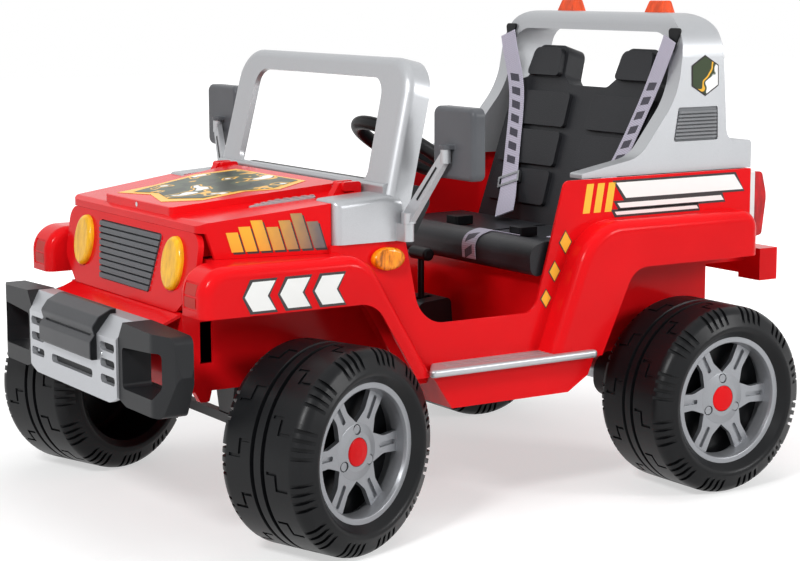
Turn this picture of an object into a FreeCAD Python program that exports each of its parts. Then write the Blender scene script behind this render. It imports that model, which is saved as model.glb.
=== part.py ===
import FreeCAD, Part
import math
import os

# Two-seat electric ride-on car in millimetres: +X forward, +Y to the car's left, +Z up, ground at Z = 0.

# Overall layout
CAR_LENGTH = 1310.0
WHEELBASE = 800.0
WALL = 5.0
SKIN_GAP = 0.3
RUN_GAP = 0.1
PIN_RADIUS = 4.0

# Wheels
TYRE_RADIUS = 166.0
TYRE_WIDTH = 185.0
TYRE_BULGE = 15.0
TYRE_SHOULDER = 24.0
TYRE_TREAD = 16.0
TYRE_LINER = 8.0
TREAD_GROOVE = 7.0
TREAD_RIB = 16.0
TREAD_SECTORS = 12
TREAD_DEPTH = 3.5
LUG_NOTCHES = 4
LUG_PITCH = 5.0
LUG_NOTCH = 6.0
RIM_FACE_Y = 450.0
RIM_RADIUS = 112.0
RIM_LIP = 13.0
RIM_DEPTH = 46.0
RIM_DISH = 20.0
RIM_DISC = 9.0
SPOKES = 6
SPOKE_WIDTH = 34.0
SPOKE_SLOT = 8.0
HUB_RADIUS = 46.0
HUB_TUBE_RADIUS = 17.0
HUB_END_Y = 300.0
WEB = 8.0
BOLTS = 3
BOLT_CIRCLE = 36.0
BOLT_RADIUS = 7.0
CAP_RADIUS = 23.0
CAP_HEIGHT = 8.0
AXLE_RADIUS = 8.0

# Steering
KINGPIN_Y = 264.0
KINGPIN_RADIUS = 6.0
STEER_REST = 18.5
STEER_RATIO = 1.5
STEER_ARM = 70.0
STEER_CRANK = 47.9
COLUMN_RADIUS = 8.0
COLUMN_TILT = 31.8
STEER_WHEEL_X = 75.0
STEER_WHEEL_Y = 130.0
STEER_WHEEL_Z = 610.0
STEER_WHEEL_RADIUS = 98.0
STEER_GRIP = 12.0
BEAM = 16.0
EYE_RADIUS = 13.0
EYE_HEIGHT = 32.0
PLATE = 8.0

# Red body
SIDE_HALF = 300.0
FENDER_HALF = 344.0
FENDER_EDGE = 20.0
NOSE_RADIUS = 46.0
NOSE_EDGE = 16.0
MARKER_DEPTH = 1.5
MARKER_LOW_Z = 395.0
MARKER_TOP_Z = 438.0
NOSE_INNER_Y = 262.0
BAY_HALF = 218.0
REAR_BOX_HALF = 250.0
SKIRT_HALF = 335.0
FLOOR_Z = 250.0
SKIRT_Z = 191.0
SILL_Z = 330.0
COWL_Z = 475.0
BELT_Z = 553.0
BAY_FLOOR_Z = 250.0
FRONT_ARCH_TOP = 462.0
FRONT_ARCH_LIP = 383.0
FRONT_ARCH_REACH = 172.0
FRONT_SWEEP = 59.4
REAR_ARCH_TOP = 481.0
REAR_ARCH_LIP = 398.0
REAR_ARCH_REACH = 162.0
SEAT_DECK_Z = 405.0
RISER_X = -120.0
REAR_PANEL_X = -575.0
DOOR_SETBACK = 252.0
BAY_SETBACK = 215.0
BAY_REACH = 145.0
SEAM_REAR_X = -100.0

# Hood, fascia and bumper
HOOD_FRONT_HALF = 252.0
HOOD_REAR_HALF = 292.0
HOOD_NOTCH_HALF = 240.0
HOOD_FRONT_X = 528.0
HOOD_NOTCH_X = 314.0
HOOD_REAR_X = 236.0
HOOD_LIP_Z = 503.0
HOOD_FRONT_Z = 520.0
HOOD_REAR_Z = 551.0
HOOD_PANEL_RISE = 13.0
HOOD_PANEL_FRONT = 127.0
HOOD_PANEL_REAR = 192.0
HINGE_X = 248.0
HINGE_Y = 216.0
HINGE_PIN_RADIUS = 3.0
HOOD_SWING_GAP = 1.0
HOOD_CORNER = 26.0
FASCIA_THICK = 10.0
FASCIA_LOW_X = 547.0
FASCIA_LOW_Z = 374.0
FASCIA_LOW_HALF = 198.0
FASCIA_RETURN_Y = 234.0
FASCIA_RETURN_X = 490.0
GRILLE_TOP_HALF = 121.0
GRILLE_LOW_HALF = 95.0
GRILLE_TOP_Z = 490.0
GRILLE_LOW_Z = 393.0
GRILLE_SLATS = 9
LAMP_Y = 174.0
LAMP_Z = 449.0
LAMP_HALF_WIDTH = 33.0
LAMP_HALF_HEIGHT = 43.5
LAMP_CROWN = 10.0
BUMPER_DEPTH = 67.0
BUMPER_FACE_INSET = 17.0
BUMPER_HALF = 350.0
BUMPER_TOP_Z = 366.0
BUMPER_LOW_Z = 232.0
BUMPER_SWEEP_Y = 298.0
BUMPER_SWEEP = 21.0
BUMPER_HOLE_INNER = 192.0
BUMPER_HOLE_OUTER = 318.0
BUMPER_HOLE_LOW = 260.0
BUMPER_HOLE_TOP = 334.0
BUMPER_PLATE_INSET = 13.0
BUMPER_PLATE_THICK = 9.0
BUMPER_PLATE_HALF = 178.0
BUMPER_PLATE_TOP = 365.0
BUMPER_SLOPE_Z = 335.0
BUMPER_SLOPE_RUN = 25.0
SLOT_LEVELS = (319.0, 292.0, 266.0)
SLOT_INNER = 117.0
SLOT_OUTER = 171.0
SLOT_HEIGHT = 14.0
LONG_SLOT_HALF = 84.0
WINCH_HALF = 105.0
WINCH_LOW_Z = 292.0
WINCH_ROLL = 30.0
WINCH_STEP = 8.0
WINCH_SLOT = 3.0
WINCH_CAP = 12.0

# Upper works
SCREEN_LEAN = 13.5
SCREEN_HALF = 300.0
SCREEN_TOP_Z = 772.0
SCREEN_TUBE = 46.0
SCREEN_BAR = 37.0
SCREEN_WALL = 9.0
SCREEN_EDGE = 17.0
SCREEN_POST = 74.0
SCREEN_BASE_X = 212.0
SCREEN_BASE_Z = 548.0
ROLL_HALF = 285.0
ROLL_THICK = 34.0
ROLL_TOP_Z = 835.0
ROLL_FRONT_X = -437.0
ROLL_KNEE_X = -415.0
ROLL_KNEE_Z = 690.0
ROLL_REAR_X = -526.0
ROLL_DECK_Z = 604.0
ROLL_DECK_X = -590.0
VENT_FRONT_X = -404.0
VENT_REAR_X = -508.0
VENT_LOW_Z = 608.0
VENT_TOP_Z = 668.0
VENT_SLATS = 8
BEACON_X = -490.0
BEACON_Y = 134.0
BEACON_HEIGHT = 22.0

# Seat and cabin
SEAT_HALF = 243.0
CUSHION_HALF = 288.0
SEAT_TOP_Z = 446.0
SEAT_FRONT_X = -82.0
SEAT_BACK_X = -335.0
SEAT_LEAN = 18.0
SEAT_BACK_THICK = 42.0
HEADREST_Y = 137.0
HEADREST_HALF = 57.0
STRAP_WIDTH = 42.0
STRAP_THICK = 2.4
LEVER_X = -48.0
LEVER_PIVOT_Z = 285.0
LEVER_TOP_Z = 401.0
PEDAL_X = 15.0
PEDAL_Y = 150.0
PEDAL_Z = 266.0
PEDAL_RISE = 25.0
PEDAL_LENGTH = 90.0
PEDAL_WIDTH = 62.0
MIRROR_X = 140.0
MIRROR_Y = 398.0
MIRROR_Z = 638.0
MIRROR_WIDTH = 115.0
MIRROR_HEIGHT = 116.0
MIRROR_THICK = 24.0
POST_X = 184.0
POST_Y = 319.0
POST_TOP_Z = 504.0

# Places that follow from the sizes above
FRONT_AXLE_X = WHEELBASE / 2
REAR_AXLE_X = -WHEELBASE / 2
AXLE_Z = TYRE_RADIUS
FRONT_REACH = CAR_LENGTH / 2
REAR_REACH = -CAR_LENGTH / 2
SEAM_FRONT_X = FRONT_AXLE_X - DOOR_SETBACK
BAY_BACK_X = FRONT_AXLE_X - BAY_SETBACK
BAY_FRONT_X = FRONT_AXLE_X + BAY_REACH
BUMPER_BACK_X = FRONT_REACH - BUMPER_DEPTH
BUMPER_FACE_X = FRONT_REACH - BUMPER_FACE_INSET
BUMPER_PLATE_X = FRONT_REACH - BUMPER_PLATE_INSET - BUMPER_PLATE_THICK
ORIGIN = FreeCAD.Vector(0, 0, 0)
X_AXIS = FreeCAD.Vector(1, 0, 0)
Y_AXIS = FreeCAD.Vector(0, 1, 0)
Z_AXIS = FreeCAD.Vector(0, 0, 1)
COLUMN_AXIS = FreeCAD.Vector(-math.sin(math.radians(COLUMN_TILT)), 0, math.cos(math.radians(COLUMN_TILT)))
FASCIA_SPAN = (HOOD_FRONT_X - 48, FASCIA_LOW_X + 53)
WHEEL_CENTRE = FreeCAD.Vector(STEER_WHEEL_X, STEER_WHEEL_Y, STEER_WHEEL_Z)


def point(x, y, z):
    return FreeCAD.Vector(x, y, z)


def closed_wire(corners, place):
    """Closed wire through (u, v) or (u, v, radius) corners; place puts a flat point into space."""
    stations = []
    for index, corner in enumerate(corners):
        here = point(corner[0], corner[1], 0)
        if len(corner) == 2 or corner[2] <= 0:
            stations.append((here, None, here))
            continue
        before = point(*corners[index - 1][:2], 0)
        after = point(*corners[(index + 1) % len(corners)][:2], 0)
        back = (before - here).normalize()
        ahead = (after - here).normalize()
        half = back.getAngle(ahead) / 2
        reach = corner[2] / math.tan(half)
        inward = (back + ahead).normalize()
        middle = here + inward * (corner[2] / math.sin(half) - corner[2])
        stations.append((here + back * reach, middle, here + ahead * reach))
    edges = []
    for index, (start, middle, end) in enumerate(stations):
        if middle:
            edges.append(Part.Arc(place(start), place(middle), place(end)).toShape())
        following = stations[(index + 1) % len(stations)][0]
        if end.distanceToPoint(following) > 1e-6:
            edges.append(Part.makeLine(place(end), place(following)))
    return Part.Wire(edges)


def rectangle(u_low, u_high, v_low, v_high, radius):
    """Corners of a flat rectangle, all rounded by radius."""
    return [(u_low, v_low, radius), (u_low, v_high, radius), (u_high, v_high, radius),
            (u_high, v_low, radius)]


def side_prism(corners, low, high):
    """Outline in X and Z, carried along Y from low to high."""
    wire = closed_wire(corners, lambda p: point(p.x, low, p.y))
    return Part.Face(wire).extrude(Y_AXIS * (high - low))


def cross_prism(corners, low, high):
    """Outline in Y and Z, carried along X from low to high."""
    wire = closed_wire(corners, lambda p: point(low, p.x, p.y))
    return Part.Face(wire).extrude(X_AXIS * (high - low))


def plan_prism(corners, low, high):
    """Outline in X and Y, carried along Z from low to high."""
    wire = closed_wire(corners, lambda p: point(p.x, p.y, low))
    return Part.Face(wire).extrude(Z_AXIS * (high - low))


def block(x_low, x_high, y_low, y_high, z_low, z_high):
    return Part.makeBox(x_high - x_low, y_high - y_low, z_high - z_low, point(x_low, y_low, z_low))


def rod(radius, start, end):
    along = end - start
    return Part.makeCylinder(radius, along.Length, start, along)


def turned_about_y(corners):
    """Solid of revolution about Y from an outline of (y, radius) corners."""
    wire = closed_wire(corners, lambda p: point(p.y, p.x, 0))
    return Part.Face(wire).revolve(ORIGIN, Y_AXIS, 360)


def union(shapes):
    return shapes[0].multiFuse(shapes[1:]).removeSplitter()


def mirrored(shape):
    return shape.mirror(ORIGIN, Y_AXIS)


def pair(shape):
    return Part.makeCompound([shape, mirrored(shape)])


def turned(shape, centre, axis, angle):
    copy = shape.copy()
    copy.rotate(centre, axis, angle)
    return copy


def moved(shape, x, y, z):
    copy = shape.copy()
    copy.translate(point(x, y, z))
    return copy


def softened(shape, radius, wanted):
    """Round the edges that wanted picks out."""
    return shape.makeFillet(radius, [edge for edge in shape.Edges if wanted(edge.BoundBox)])


def symmetric(half):
    """Close a right-hand list of (y, z) corners into an outline that is the same on both sides."""
    return half + [(-corner[0],) + tuple(corner[1:]) for corner in reversed(half)]


# Red body shell, moulded in three lengths that meet at two seams


def front_arch(inset):
    """Side outline of a front fender, taken in by inset on its top, front and sweep."""
    sweep = math.radians(FRONT_SWEEP)
    top = FRONT_ARCH_TOP - inset
    knee = FRONT_AXLE_X - 127 + inset * math.tan(sweep / 2)
    foot = knee - (top - FLOOR_Z) / math.tan(sweep)
    front = FRONT_AXLE_X + FRONT_ARCH_REACH - inset
    return [(front, FLOOR_Z), (front, top, NOSE_RADIUS - inset), (knee, top, 70 - inset), (foot, FLOOR_Z)]


def rear_arch(inset):
    """Side outline of a rear fender, taken in by inset on its top, rear and sweep."""
    sweep = math.radians(69)
    top = REAR_ARCH_TOP - inset
    knee = REAR_AXLE_X + 222 - inset * math.tan(sweep / 2)
    foot = knee + (top - FLOOR_Z) / math.tan(sweep)
    rear = REAR_AXLE_X - REAR_ARCH_REACH + inset
    return [(rear, FLOOR_Z), (rear, top, 34 - inset), (knee, top, 100 - inset), (foot, FLOOR_Z)]


def fender_form(outline, inner_y, inset):
    """Solid form of a fender with a rounded outer top edge, taken in all round by inset."""
    low_y = inner_y + inset
    form = side_prism(outline(inset), low_y, FENDER_HALF - inset)
    return softened(form, FENDER_EDGE - inset, lambda box: box.YMin > low_y + 1 and box.ZMax > FLOOR_Z + 1)


def front_fender_form(inset):
    """Front fender, set back behind the fascia inboard of a nose that is rounded on both edges."""
    whole = fender_form(front_arch, BAY_HALF - WALL, inset)
    back_x = HOOD_FRONT_X - FASCIA_THICK - 1 - inset
    side_y = NOSE_INNER_Y + inset
    behind = block(-CAR_LENGTH, back_x, 0, CAR_LENGTH, 0, CAR_LENGTH)
    beside = block(back_x, CAR_LENGTH, side_y, CAR_LENGTH, 0, CAR_LENGTH)
    def inner_edge(box):
        return box.YMax < side_y + 1 and box.XMax > back_x + 1 and box.ZMax > FLOOR_Z + 1
    nose = softened(whole.common(beside), NOSE_EDGE - inset, inner_edge)
    return union([whole.common(behind), nose])


def front_fender():
    """Open-bottomed front fender with a shallow marker panel on its nose."""
    low_y = NOSE_INNER_Y + NOSE_EDGE + 1
    high_y = FENDER_HALF - FENDER_EDGE - 1
    skin = side_prism(front_arch(-1), low_y, high_y).cut(side_prism(front_arch(MARKER_DEPTH), low_y, high_y))
    marker = skin.common(block(BAY_FRONT_X, CAR_LENGTH, low_y, high_y, MARKER_LOW_Z, MARKER_TOP_Z))
    return front_fender_form(0).cut([front_fender_form(WALL), marker])


def rear_fender():
    """Open-bottomed rear fender."""
    inner_y = SIDE_HALF - WALL
    return fender_form(rear_arch, inner_y, 0).cut(fender_form(rear_arch, inner_y, WALL))


def front_opening():
    sweep = math.tan(math.radians(FRONT_SWEEP))
    knee = FRONT_AXLE_X - 138
    ahead = FRONT_AXLE_X + FRONT_ARCH_REACH + WALL
    low_z = SKIRT_Z - WALL
    foot = knee - (FRONT_ARCH_LIP - low_z) / sweep
    outline = [(ahead, low_z), (ahead, FRONT_ARCH_LIP), (knee, FRONT_ARCH_LIP, 50), (foot, low_z)]
    return side_prism(outline, BAY_HALF, FENDER_HALF + WALL)


def rear_opening():
    sweep = math.tan(math.radians(64.7))
    knee = REAR_AXLE_X + 130
    behind = REAR_PANEL_X - WALL
    low_z = SKIRT_Z - WALL
    foot = knee + (REAR_ARCH_LIP - low_z) / sweep
    outline = [(behind, low_z), (behind, REAR_ARCH_LIP), (knee, REAR_ARCH_LIP, 45), (foot, low_z)]
    return side_prism(outline, REAR_BOX_HALF, FENDER_HALF + WALL)


def side_panel():
    """Body side with the door opening cut down to the sill."""
    outline = [
        (FRONT_AXLE_X - 80, COWL_Z),
        (FRONT_AXLE_X - 222, COWL_Z),
        (SEAM_FRONT_X, SILL_Z, 60),
        (-86, SILL_Z, 30),
        (-148, BELT_Z, 14),
        (REAR_PANEL_X, BELT_Z),
        (REAR_PANEL_X, SKIRT_Z + 40),
        (FRONT_AXLE_X - 80, SKIRT_Z + 40),
    ]
    return side_prism(outline, SIDE_HALF - WALL, SIDE_HALF)


def skirt_tub():
    """Floor pan with the skirts below it, open underneath."""
    front = SEAM_FRONT_X
    def outline(inset, low):
        return [(front - inset, FLOOR_Z - inset), (front - 39 - inset, low), (-133 + inset, low),
                (-176 + inset, SKIRT_Z + 26), (-190 + inset, FLOOR_Z - inset)]
    pan = side_prism(outline(0, SKIRT_Z), -SKIRT_HALF, SKIRT_HALF)
    return pan.cut(side_prism(outline(WALL, SKIRT_Z - 1), -SKIRT_HALF + WALL, SKIRT_HALF - WALL))


def front_bay():
    """Open box under the hood, with the toe floor behind it and a lug below each side."""
    back = BAY_BACK_X
    front = BAY_FRONT_X
    outer = block(back, front, -BAY_HALF, BAY_HALF, BAY_FLOOR_Z - WALL, FRONT_ARCH_TOP)
    inner = block(back + WALL, front - WALL, -BAY_HALF + WALL, BAY_HALF - WALL, BAY_FLOOR_Z, FRONT_ARCH_TOP)
    bulkhead = block(back, back + WALL, -SIDE_HALF, SIDE_HALF, FRONT_ARCH_LIP, COWL_Z)
    toe_floor = block(SEAM_FRONT_X, back, -BAY_HALF, BAY_HALF, FLOOR_Z - WALL, FLOOR_Z)
    lug = side_prism([(front - 52, BAY_FLOOR_Z), (front - 46, SKIRT_Z + 36, 4), (front - 30, SKIRT_Z + 36, 4),
                      (front - 18, BAY_FLOOR_Z)], BAY_HALF - 14, BAY_HALF)
    return union([outer.cut(inner), bulkhead, toe_floor, lug, mirrored(lug)])


def rear_tub():
    """Seat riser, seat deck, seat back wall, boot walls and the axle legs."""
    back_x = REAR_AXLE_X - 115
    riser = block(RISER_X - WALL, RISER_X, -SIDE_HALF, SIDE_HALF, FLOOR_Z - WALL, SEAT_DECK_Z)
    deck = block(back_x, RISER_X, -SIDE_HALF, SIDE_HALF, SEAT_DECK_Z - WALL, SEAT_DECK_Z)
    outer = block(back_x, RISER_X, -REAR_BOX_HALF, REAR_BOX_HALF, FLOOR_Z - 2 * WALL, SEAT_DECK_Z)
    inner = block(back_x + WALL, RISER_X + 1, -REAR_BOX_HALF + WALL, REAR_BOX_HALF - WALL,
                  FLOOR_Z - WALL, SEAT_DECK_Z - WALL)
    boot = block(REAR_PANEL_X, back_x + WALL, -SIDE_HALF, SIDE_HALF, SEAT_DECK_Z - WALL, SEAT_DECK_Z)
    panel = block(REAR_PANEL_X, REAR_PANEL_X + WALL, -SIDE_HALF, SIDE_HALF, SEAT_DECK_Z - WALL, BELT_Z)
    leg = block(REAR_AXLE_X - 30, REAR_AXLE_X + 30, 110, 130, AXLE_Z - 28, FLOOR_Z - 2 * WALL)
    return union([riser, deck, outer.cut(inner), boot, panel, leg, mirrored(leg)])


def pedal_ears():
    """Two ears on the floor that carry the pedal pin."""
    ears = []
    for side in (-1, 1):
        middle = PEDAL_Y + side * (PEDAL_WIDTH / 2 + 5)
        ear = side_prism([(PEDAL_X - 10, FLOOR_Z), (PEDAL_X - 9, PEDAL_Z + 9, 8),
                          (PEDAL_X + 9, PEDAL_Z + 9, 8), (PEDAL_X + 10, FLOOR_Z)], middle - 3, middle + 3)
        ears.append(ear)
    return ears


def body_shell():
    sides = [side_panel(), front_fender(), rear_fender()]
    middle = [skirt_tub(), front_bay(), rear_tub()] + pedal_ears()
    shell = union(middle + sides + [mirrored(side) for side in sides])
    openings = [front_opening(), rear_opening()]
    cutters = openings + [mirrored(cut) for cut in openings]
    cabin = block(RISER_X, BAY_BACK_X, -SIDE_HALF + WALL, SIDE_HALF - WALL, FLOOR_Z, BELT_Z)
    cutters.append(cabin.cut(Part.makeCompound(pedal_ears() + [toe_board()])))
    cutters.append(fascia_room())
    slot_z = BAY_FLOOR_Z + 40
    cutters.append(block(BAY_FRONT_X - 53, BAY_FRONT_X - 31, -BAY_HALF, BAY_HALF, slot_z, slot_z + 68))
    cutters.append(rod(COLUMN_RADIUS + 6, column_point(60), column_point(520)))
    cutters.append(rod(AXLE_RADIUS + RUN_GAP, point(REAR_AXLE_X, -SKIRT_HALF, AXLE_Z),
                       point(REAR_AXLE_X, SKIRT_HALF, AXLE_Z)))
    cutters.append(rod(PIN_RADIUS + RUN_GAP, point(PEDAL_X, PEDAL_Y - PEDAL_WIDTH, PEDAL_Z),
                       point(PEDAL_X, PEDAL_Y + PEDAL_WIDTH, PEDAL_Z)))
    return shell.cut(cutters).removeSplitter()


def toe_board():
    """Sloping panels behind the front wheels, kept when the cabin is cleared."""
    board = side_prism(front_arch(0), BAY_HALF - WALL, SIDE_HALF)
    return Part.makeCompound([board, mirrored(board)])


def fascia_room():
    """Space in front of the fascia's back face, between the fenders."""
    lean = fascia_lean()
    back_top = HOOD_FRONT_X - FASCIA_THICK
    back_low = FASCIA_LOW_X - FASCIA_THICK
    return side_prism([(back_top, HOOD_LIP_Z), (back_low, FASCIA_LOW_Z), (FASCIA_LOW_X + 40, FASCIA_LOW_Z),
                       (FASCIA_LOW_X + 40 + lean, HOOD_LIP_Z)], -NOSE_INNER_Y, NOSE_INNER_Y)


def body_length(shell, back, front):
    """The stretch of the shell between two seams."""
    return shell.common(block(back, front, -CAR_LENGTH, CAR_LENGTH, 0, CAR_LENGTH))


# Front end


def fascia_lean():
    return FASCIA_LOW_X - HOOD_FRONT_X


def fascia_slab(front_shift, thickness):
    """Leaning slab parallel to the fascia's front face."""
    low = FASCIA_LOW_X + front_shift
    top = HOOD_FRONT_X + front_shift
    return side_prism([(low, FASCIA_LOW_Z), (top, HOOD_LIP_Z), (top - thickness, HOOD_LIP_Z),
                       (low - thickness, FASCIA_LOW_Z)], -FENDER_HALF, FENDER_HALF)


def fascia_outline():
    top = HOOD_LIP_Z - SKIN_GAP
    return symmetric([(HOOD_FRONT_HALF, top, 26), (HOOD_FRONT_HALF, FRONT_ARCH_LIP + 34, 30),
                      (FASCIA_LOW_HALF, FASCIA_LOW_Z, 8)])


def grille_outline(gap):
    return symmetric([(GRILLE_TOP_HALF + gap, GRILLE_TOP_Z + gap, 6),
                      (GRILLE_LOW_HALF + gap, GRILLE_LOW_Z - gap, 6)])


def lamp_plug(gap, low, high):
    """Oval plug along X at the left headlight."""
    oval = Part.Ellipse(point(0, 0, LAMP_HALF_HEIGHT + gap), point(0, LAMP_HALF_WIDTH + gap, 0), ORIGIN)
    face = Part.Face(Part.Wire([oval.toShape()]))
    return moved(face.extrude(X_AXIS * (high - low)), low, LAMP_Y, LAMP_Z)


def apron():
    """Sloping strip below the fascia, from the bay's front to the bumper's back."""
    high = FASCIA_LOW_Z - 1
    low = BUMPER_PLATE_TOP - BUMPER_PLATE_THICK - 1
    return side_prism([(BAY_FRONT_X, high - WALL), (BUMPER_BACK_X, low - WALL), (BUMPER_BACK_X, low),
                       (BAY_FRONT_X, high)], -BAY_HALF + WALL, BAY_HALF - WALL)


def front_fascia():
    """Leaning panel with windows for grille and lamps, side returns behind the hood's edge, and the apron."""
    plate = fascia_slab(0, FASCIA_THICK).common(cross_prism(fascia_outline(), *FASCIA_SPAN))
    lamp = lamp_plug(SKIN_GAP, *FASCIA_SPAN)
    window = cross_prism(grille_outline(SKIN_GAP), *FASCIA_SPAN)
    edge = block(FASCIA_RETURN_X, HOOD_FRONT_X - 4, FASCIA_RETURN_Y - WALL, FASCIA_RETURN_Y,
                 FRONT_ARCH_TOP + 3, HOOD_LIP_Z - 4)
    panel = union([plate.cut([lamp, mirrored(lamp), window]), edge, mirrored(edge)])
    return Part.makeCompound([panel, apron()])


def grille():
    """Louvred insert: a thin backing with slats that stand forward."""
    frame = fascia_slab(-4, FASCIA_THICK - 4).common(cross_prism(grille_outline(0), *FASCIA_SPAN))
    pitch = (GRILLE_TOP_Z - GRILLE_LOW_Z) / GRILLE_SLATS
    face = fascia_slab(3, FASCIA_THICK - 1).common(cross_prism(grille_outline(0), *FASCIA_SPAN))
    half = 0.36 * pitch
    slats = []
    for row in range(GRILLE_SLATS):
        middle = GRILLE_LOW_Z + (row + 0.5) * pitch
        slats.append(face.common(block(*FASCIA_SPAN, -SIDE_HALF, SIDE_HALF, middle - half, middle + half)))
    return union([frame] + slats)


def headlight_lenses():
    """Oval lenses that crown forward out of the fascia."""
    lens = lamp_plug(0, *FASCIA_SPAN).common(fascia_slab(LAMP_CROWN, FASCIA_THICK + LAMP_CROWN))
    front = [edge for edge in lens.Edges if edge.BoundBox.XMax > FASCIA_LOW_X - 2]
    return pair(lens.makeFillet(LAMP_CROWN - 2, front))


def bumper_profile(inset):
    """Bend and top of the bumper plate's front in X and Z, taken in by inset: upright, then sloping back."""
    lean = math.atan(BUMPER_SLOPE_RUN / (BUMPER_PLATE_TOP - BUMPER_SLOPE_Z))
    front = FRONT_REACH - BUMPER_PLATE_INSET - inset
    bend = BUMPER_SLOPE_Z - inset * math.tan(lean / 2)
    top = BUMPER_PLATE_TOP - inset
    return [(front, bend), (front - (top - bend) * math.tan(lean), top)]


def front_bumper():
    """Cross beam with two blocks, each with a trapezoid hole, swept back and rounded at the ends."""
    inner = BUMPER_PLATE_HALF
    end = [(inner, BUMPER_LOW_Z + 8), (inner, BUMPER_SLOPE_Z + 3), (inner + 18, BUMPER_TOP_Z),
           (BUMPER_HALF - 8, BUMPER_TOP_Z - 5, 14), (BUMPER_HALF, 300), (BUMPER_HALF - 32, BUMPER_LOW_Z, 14),
           (inner + 26, BUMPER_LOW_Z)]
    hole = [(BUMPER_HOLE_INNER, BUMPER_HOLE_LOW, 8), (BUMPER_HOLE_INNER, BUMPER_HOLE_TOP - 8, 8),
            (BUMPER_HOLE_OUTER, BUMPER_HOLE_TOP, 8), (BUMPER_HOLE_OUTER, BUMPER_HOLE_LOW + 20, 12),
            (BUMPER_HOLE_OUTER - 20, BUMPER_HOLE_LOW, 8)]
    sweep = plan_prism([(BUMPER_BACK_X, 0), (BUMPER_FACE_X, 0), (BUMPER_FACE_X, BUMPER_SWEEP_Y, 30),
                        (BUMPER_FACE_X - BUMPER_SWEEP, BUMPER_HALF, 12), (BUMPER_BACK_X, BUMPER_HALF, 8)],
                       0, CAR_LENGTH)
    side = cross_prism(end, BUMPER_BACK_X, BUMPER_FACE_X).common(sweep)
    side = side.cut(cross_prism(hole, BUMPER_BACK_X - 1, BUMPER_FACE_X + 1))
    low = BUMPER_LOW_Z + 14
    beam = side_prism([(BUMPER_BACK_X, low), (BUMPER_PLATE_X, low)] + bumper_profile(BUMPER_PLATE_THICK)
                      + [(BUMPER_BACK_X, BUMPER_PLATE_TOP - BUMPER_PLATE_THICK)], -inner - 4, inner + 4)
    return union([side, mirrored(side), beam])


def oblong(low_y, high_y, level):
    """Round-ended window through the bumper plate."""
    half = SLOT_HEIGHT / 2
    outline = rectangle(low_y, high_y, level - half, level + half, half - 1)
    return cross_prism(outline, BUMPER_PLATE_X - 1, FRONT_REACH)


def bumper_plate():
    """Bent plate between the bumper's ends, with a row of windows."""
    inner = BUMPER_PLATE_HALF - SKIN_GAP
    half = [(inner + 18, BUMPER_TOP_Z), (inner, BUMPER_SLOPE_Z + 3), (inner, BUMPER_LOW_Z + 8, 6),
            (inner - 28, BUMPER_LOW_Z - 2, 20)]
    face = cross_prism(symmetric(half), BUMPER_BACK_X, FRONT_REACH)
    low = BUMPER_LOW_Z - 3
    outer = bumper_profile(0)
    under = bumper_profile(BUMPER_PLATE_THICK)
    bent = side_prism([(under[0][0], low), (outer[0][0], low)] + outer + [(BUMPER_BACK_X, BUMPER_PLATE_TOP),
                      (BUMPER_BACK_X, under[1][1])] + under[::-1], -BUMPER_HALF, BUMPER_HALF)
    windows = [oblong(-LONG_SLOT_HALF, LONG_SLOT_HALF, SLOT_LEVELS[-1])]
    for level in SLOT_LEVELS:
        window = oblong(SLOT_INNER, SLOT_OUTER, level)
        windows += [window, mirrored(window)]
    return bent.common(face).cut(windows)


def winch_cover():
    """Cover with two rolls, one above the other, seated on the plate's front and top."""
    (seat_x, bend), (top_x, top) = bumper_profile(0)
    step_z = WINCH_LOW_Z + WINCH_ROLL + WINCH_STEP + 2
    crest = top + WINCH_STEP
    outline = [(seat_x, WINCH_LOW_Z), (FRONT_REACH, WINCH_LOW_Z, 5),
               (FRONT_REACH, WINCH_LOW_Z + WINCH_ROLL, 6),
               (FRONT_REACH - WINCH_STEP, step_z), (FRONT_REACH - WINCH_STEP / 2, step_z + 14, 8),
               (FRONT_REACH - 2 * WINCH_STEP, step_z + WINCH_ROLL, 8), (top_x, crest, 8), (top_x - 10, crest),
               (top_x - 10, top), (top_x, top), (seat_x, bend)]
    slot_half = WINCH_HALF - WINCH_CAP
    slot = block(seat_x + 2, FRONT_REACH, -slot_half, slot_half, step_z - WINCH_SLOT / 2, step_z + WINCH_SLOT / 2)
    return side_prism(outline, -WINCH_HALF, WINCH_HALF).cut(slot)


# Hood


def hood_plan(inset):
    half = [(HOOD_FRONT_X - inset, HOOD_FRONT_HALF - inset, HOOD_CORNER),
            (HOOD_NOTCH_X + inset, HOOD_REAR_HALF - inset), (HOOD_NOTCH_X + inset, HOOD_NOTCH_HALF - inset),
            (HOOD_REAR_X + inset, HOOD_NOTCH_HALF - inset)]
    return half + [(corner[0], -corner[1]) + tuple(corner[2:]) for corner in reversed(half)]


def hood_side(drop, rise):
    """Side outline of the hood; its lower edge rises behind the hinge so that it swings clear of the bay."""
    low = FRONT_ARCH_TOP + SKIN_GAP
    return [(HOOD_FRONT_X + 5, low), (HOOD_FRONT_X + 5, HOOD_FRONT_Z - 8 + rise - drop),
            (HOOD_FRONT_X - 12, HOOD_FRONT_Z + rise - drop, 14), (HOOD_REAR_X, HOOD_REAR_Z + rise - drop),
            (HOOD_REAR_X, low + 5), (HINGE_X + 8, low)]


def hood_panel_plan(inset):
    front = HOOD_FRONT_X - 10 - inset
    half = [(front, HOOD_PANEL_FRONT - inset, 8), (HOOD_REAR_X, HOOD_PANEL_REAR - inset)]
    return half + [(corner[0], -corner[1]) + tuple(corner[2:]) for corner in reversed(half)]


def hinge_z():
    return HOOD_REAR_Z + 8


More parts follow.
